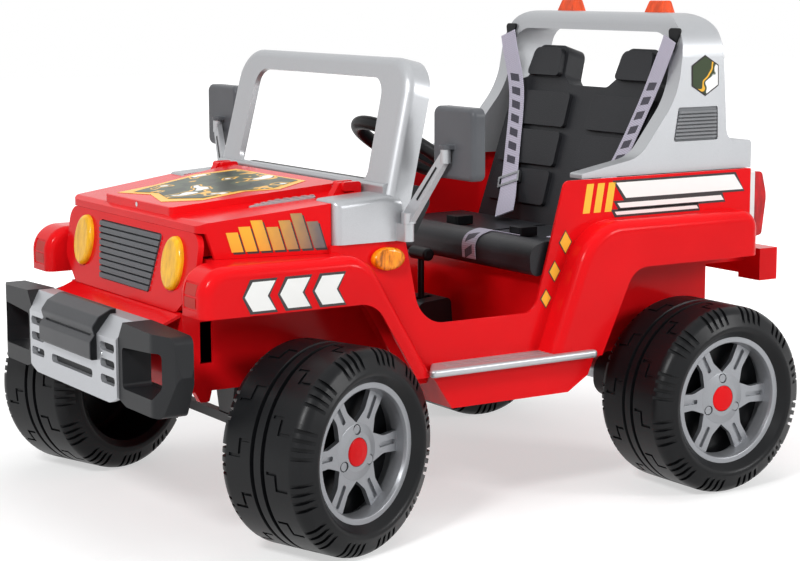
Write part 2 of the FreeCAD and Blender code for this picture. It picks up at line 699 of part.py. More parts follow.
def hood_edge_x(level):
    """Where the hood's side drop ends in front at a level, so that it swings clear of the fascia's back."""
    reach = math.hypot(HOOD_FRONT_X - FASCIA_THICK - HINGE_X, hinge_z() - HOOD_LIP_Z) - HOOD_SWING_GAP
    return HINGE_X + math.sqrt(reach ** 2 - (hinge_z() - level) ** 2)


def hood_form(inset, rise, plan):
    """Solid form of the hood's pan or raised panel, taken in by inset."""
    outline = side_prism(hood_side(inset, rise), -FENDER_HALF, FENDER_HALF)
    return plan_prism(plan(inset), FRONT_ARCH_TOP - 1, CAR_LENGTH).common(outline)


def hood():
    """Pan with a raised centre panel, side drops and two hinge ears."""
    forms = [(0, hood_plan), (HOOD_PANEL_RISE, hood_panel_plan)]
    skin = [hood_form(0, rise, plan) for rise, plan in forms]
    room = [hood_form(WALL, rise, plan) for rise, plan in forms]
    low = FRONT_ARCH_TOP
    ahead = HOOD_FRONT_X + 20
    front = side_prism([(hood_edge_x(low), 0), (hood_edge_x(low), low), (hood_edge_x(HOOD_LIP_Z), HOOD_LIP_Z),
                        (ahead, HOOD_LIP_Z), (ahead, 0)], -FENDER_HALF, FENDER_HALF)
    ear_z = hinge_z() + 8
    ear = side_prism([(HINGE_X - 10, HOOD_REAR_Z - 4), (HINGE_X - 9, ear_z, 7), (HINGE_X + 9, ear_z, 7),
                      (HINGE_X + 22, HOOD_REAR_Z - 4)], HINGE_Y - 8, HINGE_Y + 8)
    bore = rod(HINGE_PIN_RADIUS + RUN_GAP, point(HINGE_X, HINGE_Y - 40, hinge_z()),
               point(HINGE_X, HINGE_Y + 40, hinge_z()))
    whole = union([union(skin).cut(room + [front]), ear, mirrored(ear)])
    return whole.cut([bore, mirrored(bore)] + hood_vent_seats())


def hood_vent_outline(grow):
    return [(HOOD_NOTCH_X + 106 + 4 * grow, 188, 4), (HOOD_NOTCH_X - 14 - grow, 220 + grow, 6),
            (HOOD_NOTCH_X - 24 - grow, 196 - grow, 6), (HOOD_NOTCH_X + 40 + grow, 174 - grow, 6)]


def hood_slope_slab(below, above):
    """Slab between two offsets from the hood's shoulder surface."""
    front = (HOOD_FRONT_X - 12, HOOD_FRONT_Z)
    rear = (HOOD_REAR_X, HOOD_REAR_Z)
    return side_prism([(front[0], front[1] - below), (rear[0], rear[1] - below), (rear[0], rear[1] + above),
                       (front[0], front[1] + above)], -FENDER_HALF, FENDER_HALF)


def hood_vent_seats():
    seat = plan_prism(hood_vent_outline(2 * SKIN_GAP), FLOOR_Z, CAR_LENGTH).common(hood_slope_slab(2, 30))
    return [seat, mirrored(seat)]


def hood_vents():
    """Slatted trim let into the hood shoulders."""
    base = plan_prism(hood_vent_outline(0), FLOOR_Z, CAR_LENGTH).common(hood_slope_slab(2, 1.5))
    ribs = plan_prism(hood_vent_outline(-2), FLOOR_Z, CAR_LENGTH).common(hood_slope_slab(-1.5, 3))
    gaps = [block(HOOD_NOTCH_X - 30 + row * 14, HOOD_NOTCH_X - 23 + row * 14, 0, SIDE_HALF, 0, CAR_LENGTH)
            for row in range(10)]
    return pair(union([base, ribs.cut(gaps)]))


def hinge_brackets():
    """Cheeks on the cowl that hold the hood's hinge pins."""
    rear = HOOD_REAR_X - 14
    cheeks = []
    for side in (-1, 1):
        middle = HINGE_Y + side * 13
        cheeks.append(side_prism([(rear, SCREEN_BASE_Z), (rear, hinge_z() + 9, 5),
                                  (HINGE_X + 8, hinge_z() + 9, 6),
                                  (HINGE_X + 8, hinge_z() - 6, 4), (HOOD_REAR_X - 1, hinge_z() - 6),
                                  (HOOD_REAR_X - 1, SCREEN_BASE_Z)], middle - 4.5, middle + 4.5))
    web = block(rear, HOOD_REAR_X - 4, HINGE_Y - 17.5, HINGE_Y + 17.5, SCREEN_BASE_Z, hinge_z() + 6)
    pin = rod(HINGE_PIN_RADIUS, point(HINGE_X, HINGE_Y - 17, hinge_z()),
              point(HINGE_X, HINGE_Y + 17, hinge_z()))
    return pair(union(cheeks + [web, pin]))


# Windscreen, dashboard, roll bar


def cowl_side():
    """Left wrap-round piece between the hood and the windscreen's foot."""
    piece = side_prism([(HOOD_NOTCH_X - 1, COWL_Z), (HOOD_NOTCH_X - 1, HOOD_REAR_Z - 5, 6),
                        (216, SCREEN_BASE_Z + 4),
                        (190, SCREEN_BASE_Z), (POST_X - 6, COWL_Z)], HOOD_NOTCH_HALF + 2, SIDE_HALF + 4)
    return softened(piece, 14, lambda box: box.YMin > SIDE_HALF and box.ZMin > COWL_Z + 20)


def windscreen_frame():
    """Moulded frame, a face with a rim turned back round it, on a cowl with wrap-round side pieces."""
    top = SCREEN_BASE_Z + (SCREEN_TOP_Z - SCREEN_BASE_Z) / math.cos(math.radians(SCREEN_LEAN))
    low = SCREEN_BASE_Z - 40
    back = SCREEN_BASE_X - SCREEN_TUBE
    opening = symmetric([(SCREEN_HALF - 8 - SCREEN_POST, top - SCREEN_BAR, 34),
                         (SCREEN_HALF - SCREEN_POST, SCREEN_BASE_Z + 18, 20)])
    frame = cross_prism(symmetric([(SCREEN_HALF - 8, top, 62), (SCREEN_HALF, low)]), back, SCREEN_BASE_X)
    frame = softened(frame, SCREEN_EDGE, lambda box: box.XMin > SCREEN_BASE_X - 1 and box.ZMax > low + 1)
    hollow = symmetric([(SCREEN_HALF - 8 - SCREEN_WALL, top - SCREEN_WALL, 54),
                        (SCREEN_HALF - SCREEN_WALL, low - 1)])
    hollow = cross_prism(hollow, back - 1, SCREEN_BASE_X - SCREEN_WALL)
    hollow = softened(hollow, SCREEN_EDGE - SCREEN_WALL, lambda box: box.XMin > back and box.ZMax > low)
    frame = frame.cut([hollow, cross_prism(opening, back - 2, SCREEN_BASE_X + 1)])
    frame = turned(frame, point(SCREEN_BASE_X, 0, SCREEN_BASE_Z), Y_AXIS, -SCREEN_LEAN)
    keep = block(0, FRONT_REACH, -SIDE_HALF - 20, SIDE_HALF + 20, COWL_Z, CAR_LENGTH)
    step = HOOD_REAR_X - 21
    bridge = side_prism([(HOOD_REAR_X - 2, COWL_Z + 40), (HOOD_REAR_X - 2, SCREEN_BASE_Z),
                         (step, SCREEN_BASE_Z),
                         (step, SCREEN_BASE_Z + 20, 6), (188, SCREEN_BASE_Z + 20, 8), (188, COWL_Z + 40)],
                        -SCREEN_HALF + 10, SCREEN_HALF - 10)
    bracket = plan_prism([(POST_X - 9, SIDE_HALF - 6), (POST_X - 9, POST_Y + 9, 8.9),
                          (POST_X + 9, POST_Y + 9, 8.9),
                          (POST_X + 16, SIDE_HALF - 6)], COWL_Z, POST_TOP_Z)
    stud = rod(PIN_RADIUS, point(POST_X, POST_Y, COWL_Z), point(POST_X, POST_Y, POST_TOP_Z + 15))
    sides = [cowl_side(), bracket, stud]
    return union([frame.common(keep), bridge] + sides + [mirrored(side) for side in sides])


def dashboard():
    """Padded roll behind the windscreen, hollow towards the front."""
    back = HOOD_REAR_X - 50
    half = SIDE_HALF - WALL - SCREEN_WALL - 2
    low = COWL_Z + SKIN_GAP
    roll = side_prism([(back, low), (back, SCREEN_BASE_Z + 8, 8), (132, SCREEN_BASE_Z + 14, 22),
                       (118, SCREEN_BASE_Z - 16, 16), (150, low)], -half, half)
    room = side_prism([(back + 1, low + 8), (back + 1, SCREEN_BASE_Z - 2), (138, SCREEN_BASE_Z + 4, 14),
                       (129, SCREEN_BASE_Z - 14, 8), (156, low + 8)], -half + 8, half - 8)
    column = rod(COLUMN_RADIUS + 3, column_point(-40), column_point(240))
    return roll.cut([room, column, cowl_side(), mirrored(cowl_side())])


def roll_bar_side():
    """Side outline of the roll bar: hoop, sloping tongue and stepped rear."""
    return [(-196, BELT_Z), (-196, BELT_Z + 8, 4), (-327, 584, 70), (ROLL_KNEE_X, ROLL_KNEE_Z, 150),
            (ROLL_FRONT_X, ROLL_TOP_Z, 24), (ROLL_REAR_X + 6, ROLL_TOP_Z, 36),
            (ROLL_REAR_X - 4, ROLL_DECK_Z, 22),
            (ROLL_DECK_X, ROLL_DECK_Z, 8), (ROLL_DECK_X + 2, BELT_Z)]


def roll_bar():
    """Hollow-moulded hoop: two side panels joined by the top bar and the rear deck."""
    outer = symmetric([(ROLL_HALF - 10, ROLL_TOP_Z, 80), (ROLL_HALF, BELT_Z)])
    inner = symmetric([(ROLL_HALF - 10 - ROLL_THICK, ROLL_TOP_Z - ROLL_THICK, 50),
                       (ROLL_HALF - ROLL_THICK, BELT_Z - 1)])
    arch = cross_prism(outer, ROLL_DECK_X - 10, 0).cut(cross_prism(inner, ROLL_DECK_X - 11, 1))
    hoop = arch.common(side_prism(roll_bar_side(), -ROLL_HALF, ROLL_HALF))
    deck = side_prism([(ROLL_DECK_X, BELT_Z), (ROLL_DECK_X, ROLL_DECK_Z, 8),
                       (ROLL_REAR_X - 20, ROLL_DECK_Z, 8),
                       (ROLL_REAR_X - 20, BELT_Z)], -ROLL_HALF + ROLL_THICK / 2, ROLL_HALF - ROLL_THICK / 2)
    whole = union([hoop, deck])
    vent = vent_seat(0)
    return whole.cut([vent, mirrored(vent)])


def vent_outline(gap):
    low = VENT_LOW_Z - gap
    high = VENT_TOP_Z + gap
    rear = VENT_REAR_X - gap
    return [(VENT_FRONT_X + gap, low, 4), (VENT_FRONT_X - 12 + gap, high, 4), (rear, high, 4), (rear, low, 4)]


def vent_seat(gap):
    return side_prism(vent_outline(SKIN_GAP + gap), ROLL_HALF - 10, ROLL_HALF + 10)


def side_vents():
    """Louvred panels let into the roll bar's sides."""
    pitch = (VENT_TOP_Z - VENT_LOW_Z - 8) / VENT_SLATS
    lean = ROLL_HALF - 4
    panel = side_prism(vent_outline(0), ROLL_HALF - 10, lean - 3)
    face = side_prism(vent_outline(-3), lean - 3, lean + 2)
    ribs = []
    for row in range(VENT_SLATS):
        low = VENT_LOW_Z + 4 + row * pitch
        ribs.append(face.common(block(REAR_REACH, 0, 0, SIDE_HALF, low, low + 0.55 * pitch)))
    return pair(union([panel] + ribs))


def beacons():
    """Faceted warning lamps seated on the roll bar's top."""
    low = ROLL_TOP_Z - 8
    high = ROLL_TOP_Z + BEACON_HEIGHT
    side = side_prism([(BEACON_X - 19, low), (BEACON_X - 12, high, 4), (BEACON_X + 8, high, 4),
                       (BEACON_X + 19, low)],
                      0, SIDE_HALF)
    face = cross_prism([(BEACON_Y - 26, low), (BEACON_Y - 19, high, 4), (BEACON_Y + 19, high, 4),
                        (BEACON_Y + 26, low)],
                       BEACON_X - 20, BEACON_X + 20)
    return pair(side.common(face).cut(side_prism(roll_bar_side(), 0, SIDE_HALF)))


# Rear lamps, bumper, boards, signals


def tail_light_bases():
    return pair(cross_prism(rectangle(256, SIDE_HALF - 1, 420, BELT_Z - 3, 6), REAR_PANEL_X - 12,
                            REAR_PANEL_X))


def tail_light_lenses():
    lens = side_prism([(REAR_PANEL_X - 12, 424), (REAR_PANEL_X - 34, 428, 8), (REAR_PANEL_X - 44, 500, 60),
                       (REAR_PANEL_X - 32, 545, 8), (REAR_PANEL_X - 12, 546)], 260, 296)
    return pair(lens)


def rear_bumper():
    """Cross bar with end blocks on two arms that reach back under the body."""
    top = SEAT_DECK_Z - WALL
    bar = side_prism([(REAR_REACH, top - 58), (REAR_REACH, top, 8), (REAR_REACH + 43, top),
                      (REAR_REACH + 43, top - 12),
                      (REAR_REACH + 12, top - 14), (REAR_REACH + 12, top - 58)], -290, 290)
    end = block(REAR_REACH, REAR_REACH + 43, 232, 290, top - 60, top)
    arm = block(REAR_REACH + 43, REAR_AXLE_X - 115, 236, REAR_BOX_HALF - 2, top - 26, top)
    return union([bar, end, mirrored(end), arm, mirrored(arm)])


def running_boards():
    """Ribbed steps that sit on the skirts along the sills."""
    front = FRONT_AXLE_X - 232
    board = plan_prism([(front, 356, 8), (-192, 356, 8), (-146, SIDE_HALF), (front - 40, SIDE_HALF)],
                       FLOOR_Z, FLOOR_Z + 13)
    board = softened(board, 5, lambda box: box.YMin > 350 and box.ZLength < 1)
    grooves = [block(-150, front - 50, SIDE_HALF + 8 + 12 * row, SIDE_HALF + 12 + 12 * row, FLOOR_Z + 11,
                     FLOOR_Z + 14)
               for row in range(3)]
    clear = fender_room()
    return pair(board.cut(grooves).cut(clear))


def fender_room():
    """Room that the fender sweeps take from the running boards."""
    front = side_prism(front_arch(0), BAY_HALF, FENDER_HALF)
    rear = side_prism(rear_arch(0), SIDE_HALF, FENDER_HALF)
    return [front, rear]


def turn_signals():
    """Faceted oval lenses on the door pillars."""
    oval = Part.Ellipse(point(30, 0, 0), point(0, 0, 19), ORIGIN)
    face = Part.Face(Part.Wire([oval.toShape()]))
    lens = face.extrude(Y_AXIS * 14)
    lens = moved(lens, 215, SIDE_HALF, 447)
    return pair(lens.makeFillet(7, [edge for edge in lens.Edges if edge.BoundBox.YMin > SIDE_HALF + 10]))


# Seat and belts


def cushion_outline():
    base = SEAT_DECK_Z
    return [(SEAT_BACK_X, base), (SEAT_BACK_X, SEAT_TOP_Z - 12), (-200, SEAT_TOP_Z - 14, 120),
            (-118, SEAT_TOP_Z + 4, 30),
            (SEAT_FRONT_X, SEAT_TOP_Z - 6, 24), (SEAT_FRONT_X - 4, base - 18, 16),
            (RISER_X + 2, base - 12, 6),
            (RISER_X + 2, base)]


def seat_cushion():
    """Bench cushion with a front roll and a valley between the two places, hollow below."""
    base = SEAT_DECK_Z
    cushion = side_prism(cushion_outline(), -CUSHION_HALF, CUSHION_HALF)
    valley = cross_prism([(-14, SEAT_TOP_Z + 20), (-6, SEAT_TOP_Z - 22, 5), (6, SEAT_TOP_Z - 22, 5),
                          (14, SEAT_TOP_Z + 20)],
                         SEAT_BACK_X - 1, RISER_X - 2)
    room = block(SEAT_BACK_X + 8, RISER_X - 8, 12, CUSHION_HALF - 8, base - 1, SEAT_TOP_Z - 24)
    return cushion.cut([valley, room, mirrored(room)])


def seat_back():
    """Back rest with two headrests, a centre valley and raised pads."""
    low = SEAT_DECK_Z
    rise = 1 / math.cos(math.radians(SEAT_LEAN))
    top = low + (768 - low) * rise
    shoulder = low + (700 - low) * rise
    inner = HEADREST_Y - HEADREST_HALF
    outer = HEADREST_Y + HEADREST_HALF
    half = [(inner - 22, shoulder - 6, 18), (inner, shoulder + 12, 10), (inner + 8, top, 22),
            (outer - 8, top, 22),
            (outer, shoulder + 6, 12), (SEAT_HALF - 8, shoulder - 4, 26), (SEAT_HALF, low)]
    outline = [(-corner[0],) + tuple(corner[1:]) for corner in reversed(half)] + half
    slab = cross_prism(outline, SEAT_BACK_X - SEAT_BACK_THICK, SEAT_BACK_X)
    pads = []
    for row in range(3):
        bottom = low + 62 + row * 78
        pad = cross_prism([(32, bottom, 8), (36, bottom + 68, 8), (212, bottom + 68, 8), (216, bottom, 8)],
                          SEAT_BACK_X, SEAT_BACK_X + 9)
        pads += [pad, mirrored(pad)]
    rest = cross_prism([(inner + 6, shoulder + 8, 8), (inner + 14, top - 8, 16), (outer - 14, top - 8, 16),
                        (outer - 6, shoulder + 8, 8)],
                       SEAT_BACK_X, SEAT_BACK_X + 12)
    room = block(SEAT_BACK_X - SEAT_BACK_THICK - 1, SEAT_BACK_X - 8, 10, SEAT_HALF - 22, low + 20,
                 shoulder - 34)
    whole = union([slab, rest, mirrored(rest)] + pads).cut([room, mirrored(room)])
    return turned(whole, point(SEAT_BACK_X, 0, low), Y_AXIS, -SEAT_LEAN).common(
        block(-CAR_LENGTH, 0, -SIDE_HALF, SIDE_HALF, low, CAR_LENGTH))


def webbing(path, across):
    """Flat strap through the path's points; across gives the strap's width direction at every point."""
    sections = []
    for index, centre in enumerate(path):
        along = path[min(index + 1, len(path) - 1)] - path[max(index - 1, 0)]
        wide = (across - along * (across.dot(along) / along.dot(along))).normalize() * (STRAP_WIDTH / 2)
        through = along.cross(wide).normalize() * (STRAP_THICK / 2)
        corners = [centre + wide + through, centre - wide + through, centre - wide - through,
                   centre + wide - through]
        sections.append(Part.makePolygon(corners + [corners[0]]))
    return Part.makeLoft(sections, True, True)


def shoulder_strap():
    """From the hoop's upper corner down along the back rest to the seat."""
    path = [point(-421.2, 242, 772), point(-406, 200, 674), point(-370, 164, 560), point(-338, 132, 492),
            point(-300, 92, SEAT_TOP_Z + 2)]
    return webbing(path, point(0.1, 1, 0))


def belt_strap_left():
    return shoulder_strap()


def belt_strap_right():
    return mirrored(shoulder_strap())


def belt_lap():
    """Lap webbing across the cushion to the buckle, and the loop over the cushion's front roll."""
    half = STRAP_WIDTH / 2
    lap = plan_prism([(-300, 284), (-262, 284), (-224, 142), (-224 - half, 130), (-262, 150)], SEAT_DECK_Z,
                     CAR_LENGTH)
    loop = block(-184, 0, 104 - half, 104 + half, SEAT_DECK_Z - 8, CAR_LENGTH)
    wire = closed_wire(cushion_outline(), lambda p: point(p.x, 0, p.y))
    outer = Part.Face(wire.makeOffset2D(SKIN_GAP + STRAP_THICK))
    inner = Part.Face(wire.makeOffset2D(SKIN_GAP))
    layer = outer.cut(inner).extrude(Y_AXIS * CUSHION_HALF)
    return Part.makeCompound([layer.common(strip.cut(seat_room())).Solids[0] for strip in (lap, loop)])


def seat_room():
    """Room behind and below the cushion, where no webbing runs."""
    behind = block(REAR_REACH, SEAT_BACK_X + 20, -SIDE_HALF, SIDE_HALF, 0, CAR_LENGTH)
    below = block(REAR_REACH, SEAT_FRONT_X - 6, -SIDE_HALF, SIDE_HALF, 0, SEAT_DECK_Z)
    return [behind, below]


def belt_anchors():
    """Triangular plates on the front edge of the hoop's upper corners."""
    slope = (ROLL_FRONT_X - ROLL_KNEE_X) / (ROLL_TOP_Z - ROLL_KNEE_Z)
    low = ROLL_TOP_Z - 78
    high = ROLL_TOP_Z - 26
    low_x = ROLL_FRONT_X - slope * (ROLL_TOP_Z - low)
    high_x = ROLL_FRONT_X - slope * (ROLL_TOP_Z - high)
    slab = side_prism([(low_x, low), (high_x, high), (high_x + 5, high), (low_x + 5, low)], 0, ROLL_HALF)
    middle = ROLL_HALF - 30
    face = cross_prism([(middle - 6, low, 4), (middle - 22, high, 6), (middle + 14, high, 6)], REAR_REACH, 0)
    return pair(slab.common(face))


def belt_buckles():
    """Buckles on the cushion either side of the valley."""
    low = SEAT_TOP_Z - 12
    body = plan_prism(rectangle(-224, -184, 84, 122, 5), low, SEAT_TOP_Z + 5)
    return pair(body.cut(side_prism(cushion_outline(), 0, SIDE_HALF)))


# Drive and chassis


def battery():
    case = block(FRONT_AXLE_X - 10, FRONT_AXLE_X + 90, -130, 20, BAY_FLOOR_Z, BAY_FLOOR_Z + 95)
    case = softened(case, 4, lambda box: box.ZLength > 90)
    terminal = rod(6, point(FRONT_AXLE_X + 70, -110, BAY_FLOOR_Z + 95),
                   point(FRONT_AXLE_X + 70, -110, BAY_FLOOR_Z + 103))
    return union([case, terminal, moved(terminal, 0, 110, 0)])


def gearboxes():
    """Closed reduction housings on the rear axle, inboard of the wheels."""
    outline = [(REAR_AXLE_X - 46, AXLE_Z - 44, 40), (REAR_AXLE_X - 46, AXLE_Z + 44, 40),
               (REAR_AXLE_X + 110, AXLE_Z + 60, 34),
               (REAR_AXLE_X + 110, AXLE_Z - 20, 34)]
    housing = side_prism(outline, 204, 252)
    boss = rod(20, point(REAR_AXLE_X, 252, AXLE_Z), point(REAR_AXLE_X, HUB_END_Y - SKIN_GAP, AXLE_Z))
    bore = rod(AXLE_RADIUS + RUN_GAP, point(REAR_AXLE_X, 190, AXLE_Z), point(REAR_AXLE_X, HUB_END_Y, AXLE_Z))
    return pair(union([housing, boss]).cut(bore))


def drive_motors():
    axis_x = REAR_AXLE_X + 76
    axis_z = AXLE_Z + 20
    motor = rod(19, point(axis_x, 146, axis_z), point(axis_x, 204, axis_z))
    nose = rod(7, point(axis_x, 138, axis_z), point(axis_x, 146, axis_z))
    return pair(union([motor, nose]))


def rear_axle():
    return rod(AXLE_RADIUS, point(REAR_AXLE_X, -axle_end(), AXLE_Z), point(REAR_AXLE_X, axle_end(), AXLE_Z))


def axle_end():
    return RIM_FACE_Y - RIM_DISH - 4


def front_axle_beam():
    """Square beam with kingpins in its end eyes and two brackets up to the bay floor."""
    x = FRONT_AXLE_X
    bar = block(x - BEAM / 2, x + BEAM / 2, -KINGPIN_Y, KINGPIN_Y, AXLE_Z - BEAM / 2, AXLE_Z + BEAM / 2)
    eye = rod(EYE_RADIUS, point(x, KINGPIN_Y, AXLE_Z - EYE_HEIGHT / 2),
              point(x, KINGPIN_Y, AXLE_Z + EYE_HEIGHT / 2))
    reach = EYE_HEIGHT / 2 + PLATE + 4
    pin = rod(KINGPIN_RADIUS, point(x, KINGPIN_Y, AXLE_Z - reach), point(x, KINGPIN_Y, AXLE_Z + reach))
    leg = cross_prism([(70, AXLE_Z), (110, AXLE_Z), (130, BAY_FLOOR_Z - WALL), (50, BAY_FLOOR_Z - WALL)],
                      x - 5, x + 5)
    foot = block(x - 26, x + 26, 46, 134, BAY_FLOOR_Z - WALL - 4, BAY_FLOOR_Z - WALL)
    sides = [eye, pin, leg, foot]
    return union([bar] + sides + [mirrored(side) for side in sides])


def knuckle():
    """Yoke about the left kingpin with a stub axle and a steering arm, wheels straight ahead."""
    x = FRONT_AXLE_X
    y = KINGPIN_Y
    web_y = y + EYE_RADIUS + 3
    plates = []
    for side in (-1, 1):
        near = AXLE_Z + side * (EYE_HEIGHT / 2 + SKIN_GAP)
        far = near + side * PLATE
        plates.append(plan_prism([(x - 16, y - 14, 12), (x + 16, y - 14, 12), (x + 18, web_y + PLATE),
                                  (x - 18, web_y + PLATE)],
                                 min(near, far), max(near, far)))
    half = EYE_HEIGHT / 2 + SKIN_GAP + PLATE
    web = block(x - 18, x + 18, web_y, web_y + PLATE, AXLE_Z - half, AXLE_Z + half)
    stub = rod(AXLE_RADIUS, point(x, web_y, AXLE_Z), point(x, axle_end(), AXLE_Z))
    spacer = rod(HUB_TUBE_RADIUS - 3, point(x, web_y, AXLE_Z), point(x, HUB_END_Y - SKIN_GAP, AXLE_Z))
    arm = plan_prism([(x + 4, y - 11), (x + 4, y + 11), (x - STEER_ARM - 11, y + 11, 10),
                      (x - STEER_ARM - 11, y - 11, 10)],
                     AXLE_Z - half, AXLE_Z - half + PLATE)
    bores = [rod(KINGPIN_RADIUS + RUN_GAP, point(x, y, AXLE_Z - 60), point(x, y, AXLE_Z + 60)),
             rod(PIN_RADIUS + RUN_GAP, point(x - STEER_ARM, y, AXLE_Z - 60), point(x - STEER_ARM, y, AXLE_Z))]
    return union(plates + [web, stub, spacer, arm]).cut(bores)


def knuckle_left():
    return turned(knuckle(), point(FRONT_AXLE_X, KINGPIN_Y, 0), Z_AXIS, STEER_REST)


def knuckle_right():
    return turned(mirrored(knuckle()), point(FRONT_AXLE_X, -KINGPIN_Y, 0), Z_AXIS, STEER_REST)


def arm_low_z():
    return AXLE_Z - EYE_HEIGHT / 2 - SKIN_GAP - PLATE


def tie_rod():
    """Track rod on the steering arms, with a slotted tongue for the column crank."""
    swing = math.radians(STEER_REST)
    shift_x = -STEER_ARM * math.cos(swing)
    shift_y = -STEER_ARM * math.sin(swing)
    x = FRONT_AXLE_X
    low = arm_low_z() - SKIN_GAP - PLATE
    y = STEER_WHEEL_Y
    bar = plan_prism(rectangle(x - 9, x + 9, -KINGPIN_Y - 12, KINGPIN_Y + 12, 8), low, low + PLATE)
    pin = rod(PIN_RADIUS, point(x, KINGPIN_Y, low), point(x, KINGPIN_Y, low + 2 * PLATE + 3))
    tongue = plan_prism([(x, y - 17), (x, y + 17), (x - 42, y + 17, 10), (x - 42, y - 17, 10)], low,
                        low + PLATE)
    slot = plan_prism(rectangle(x - 33, x - 1, y - 6, y + 6, 5), low - 1, low + PLATE + 1)
    whole = union([bar, tongue, pin, mirrored(pin)]).cut(slot)
    return moved(whole, shift_x, shift_y, 0)


# Steering wheel and column


def column_point(distance):
    """Point on the column axis, measured down from the steering wheel's centre."""
    return WHEEL_CENTRE - COLUMN_AXIS * distance


def steering_frame(shape):
    """Carry a shape drawn about the Z axis at the origin to the steering wheel's centre, turned to rest."""
    tilted = turned(shape, ORIGIN, Z_AXIS, STEER_REST * STEER_RATIO)
    tilted = turned(tilted, ORIGIN, Y_AXIS, -COLUMN_TILT)
    return moved(tilted, STEER_WHEEL_X, STEER_WHEEL_Y, STEER_WHEEL_Z)


def steering_wheel():
    """Moulded rim with three spokes and a hub."""
    ring = Part.makeTorus(STEER_WHEEL_RADIUS - STEER_GRIP, STEER_GRIP)
    hub = Part.makeCone(30, 24, 24, point(0, 0, -14))
    spoke = block(0, STEER_WHEEL_RADIUS - STEER_GRIP, -11, 11, -7, 5)
    spokes = [turned(spoke, ORIGIN, Z_AXIS, angle) for angle in (0, 120, 240)]
    bore = Part.makeCylinder(COLUMN_RADIUS + 0.05, 40, point(0, 0, -34))
    return steering_frame(union([ring, hub] + spokes).cut(bore))


def steering_column():
    """Bent-end shaft: straight column, crank web and pin."""
    low = column_length()
    shaft = Part.makeCylinder(COLUMN_RADIUS, low + 5, point(0, 0, -low))
    web = plan_prism([(12, -11, 10), (12, 11, 10), (-STEER_CRANK - 10, 11, 9), (-STEER_CRANK - 10, -11, 9)],
                     -low - 8, -low)
    pin = Part.makeCylinder(5, 30, point(-STEER_CRANK, 0, -low - 30))
    return steering_frame(union([shaft, web, pin]))


def column_length():
    """Down to where the crank pin reaches the tie rod's tongue."""
    tongue_z = arm_low_z() - SKIN_GAP - PLATE / 2
    tilt = math.radians(COLUMN_TILT)
    return (STEER_WHEEL_Z - tongue_z - STEER_CRANK * math.sin(tilt) - 20) / math.cos(tilt)


def column_bracket():
    """Bush plate on the bay floor that carries the column's lower end."""
    reach = (STEER_WHEEL_Z - BAY_FLOOR_Z) / math.cos(math.radians(COLUMN_TILT))
    centre = column_point(reach)
    plate = block(centre.x - 42, centre.x + 42, STEER_WHEEL_Y - 34, STEER_WHEEL_Y + 34, BAY_FLOOR_Z,
                  BAY_FLOOR_Z + 6)
    sleeve = rod(16, column_point(reach - 26), column_point(reach + 20))
    sleeve = sleeve.common(block(0, FRONT_REACH, 0, SIDE_HALF, BAY_FLOOR_Z, CAR_LENGTH))
    return union([plate, sleeve]).cut(rod(COLUMN_RADIUS + RUN_GAP, column_point(0), column_point(reach + 60)))


# Cabin controls


def gear_gate():
    """Floor console with a slotted top for the lever."""
    low = FLOOR_Z
    outer = side_prism([(LEVER_X - 44, low), (LEVER_X - 38, 322, 10), (LEVER_X + 30, 316, 14),
                        (LEVER_X + 44, low)], -42, 42)
    inner = side_prism([(LEVER_X - 40, low - 1), (LEVER_X - 34, 317, 6), (LEVER_X + 26, 311, 10),
                        (LEVER_X + 40, low - 1)], -38, 38)
    slot = block(LEVER_X - 24, LEVER_X + 24, -9, 9, 300, 340)
    pin = rod(PIN_RADIUS, point(LEVER_X, -40, LEVER_PIVOT_Z), point(LEVER_X, 40, LEVER_PIVOT_Z))
    return union([outer.cut(inner).cut(slot), pin])


def gear_lever():
    """Stem on the gate's pin with a T handle."""
    stem = rod(6, point(LEVER_X, 0, LEVER_PIVOT_Z), point(LEVER_X, 0, LEVER_TOP_Z))
    eye = rod(10, point(LEVER_X, -8, LEVER_PIVOT_Z), point(LEVER_X, 8, LEVER_PIVOT_Z))
    handle = rod(12, point(LEVER_X, -28, LEVER_TOP_Z), point(LEVER_X, 28, LEVER_TOP_Z))
    handle = softened(handle, 5, lambda box: box.YLength < 1)
    bore = rod(PIN_RADIUS + RUN_GAP, point(LEVER_X, -20, LEVER_PIVOT_Z), point(LEVER_X, 20, LEVER_PIVOT_Z))
    return union([stem, eye, handle]).cut(bore)


def accelerator_pedal():
    """Foot plate with grip ribs, hinged at the heel."""
    half = PEDAL_WIDTH / 2
    plate = side_prism([(0, -4, 3), (0, 6, 3), (PEDAL_LENGTH, 6, 4), (PEDAL_LENGTH, -4, 4)], -half, half)
    ribs = [block(12 + row * 13, 16 + row * 13, -half + 6, half - 6, 6, 8.5) for row in range(6)]
    pin = rod(PIN_RADIUS, point(0, -half - 8, 0), point(0, half + 8, 0))
    eye = rod(7, point(0, -half, 0), point(0, half, 0))
    pedal = turned(union([plate, eye, pin] + ribs), ORIGIN, Y_AXIS, -PEDAL_RISE)
    return moved(pedal, PEDAL_X, PEDAL_Y, PEDAL_Z)


# Mirrors


def arm_end():
    return point(MIRROR_X + MIRROR_THICK / 2 + 10, MIRROR_Y - 4, MIRROR_Z - 20)


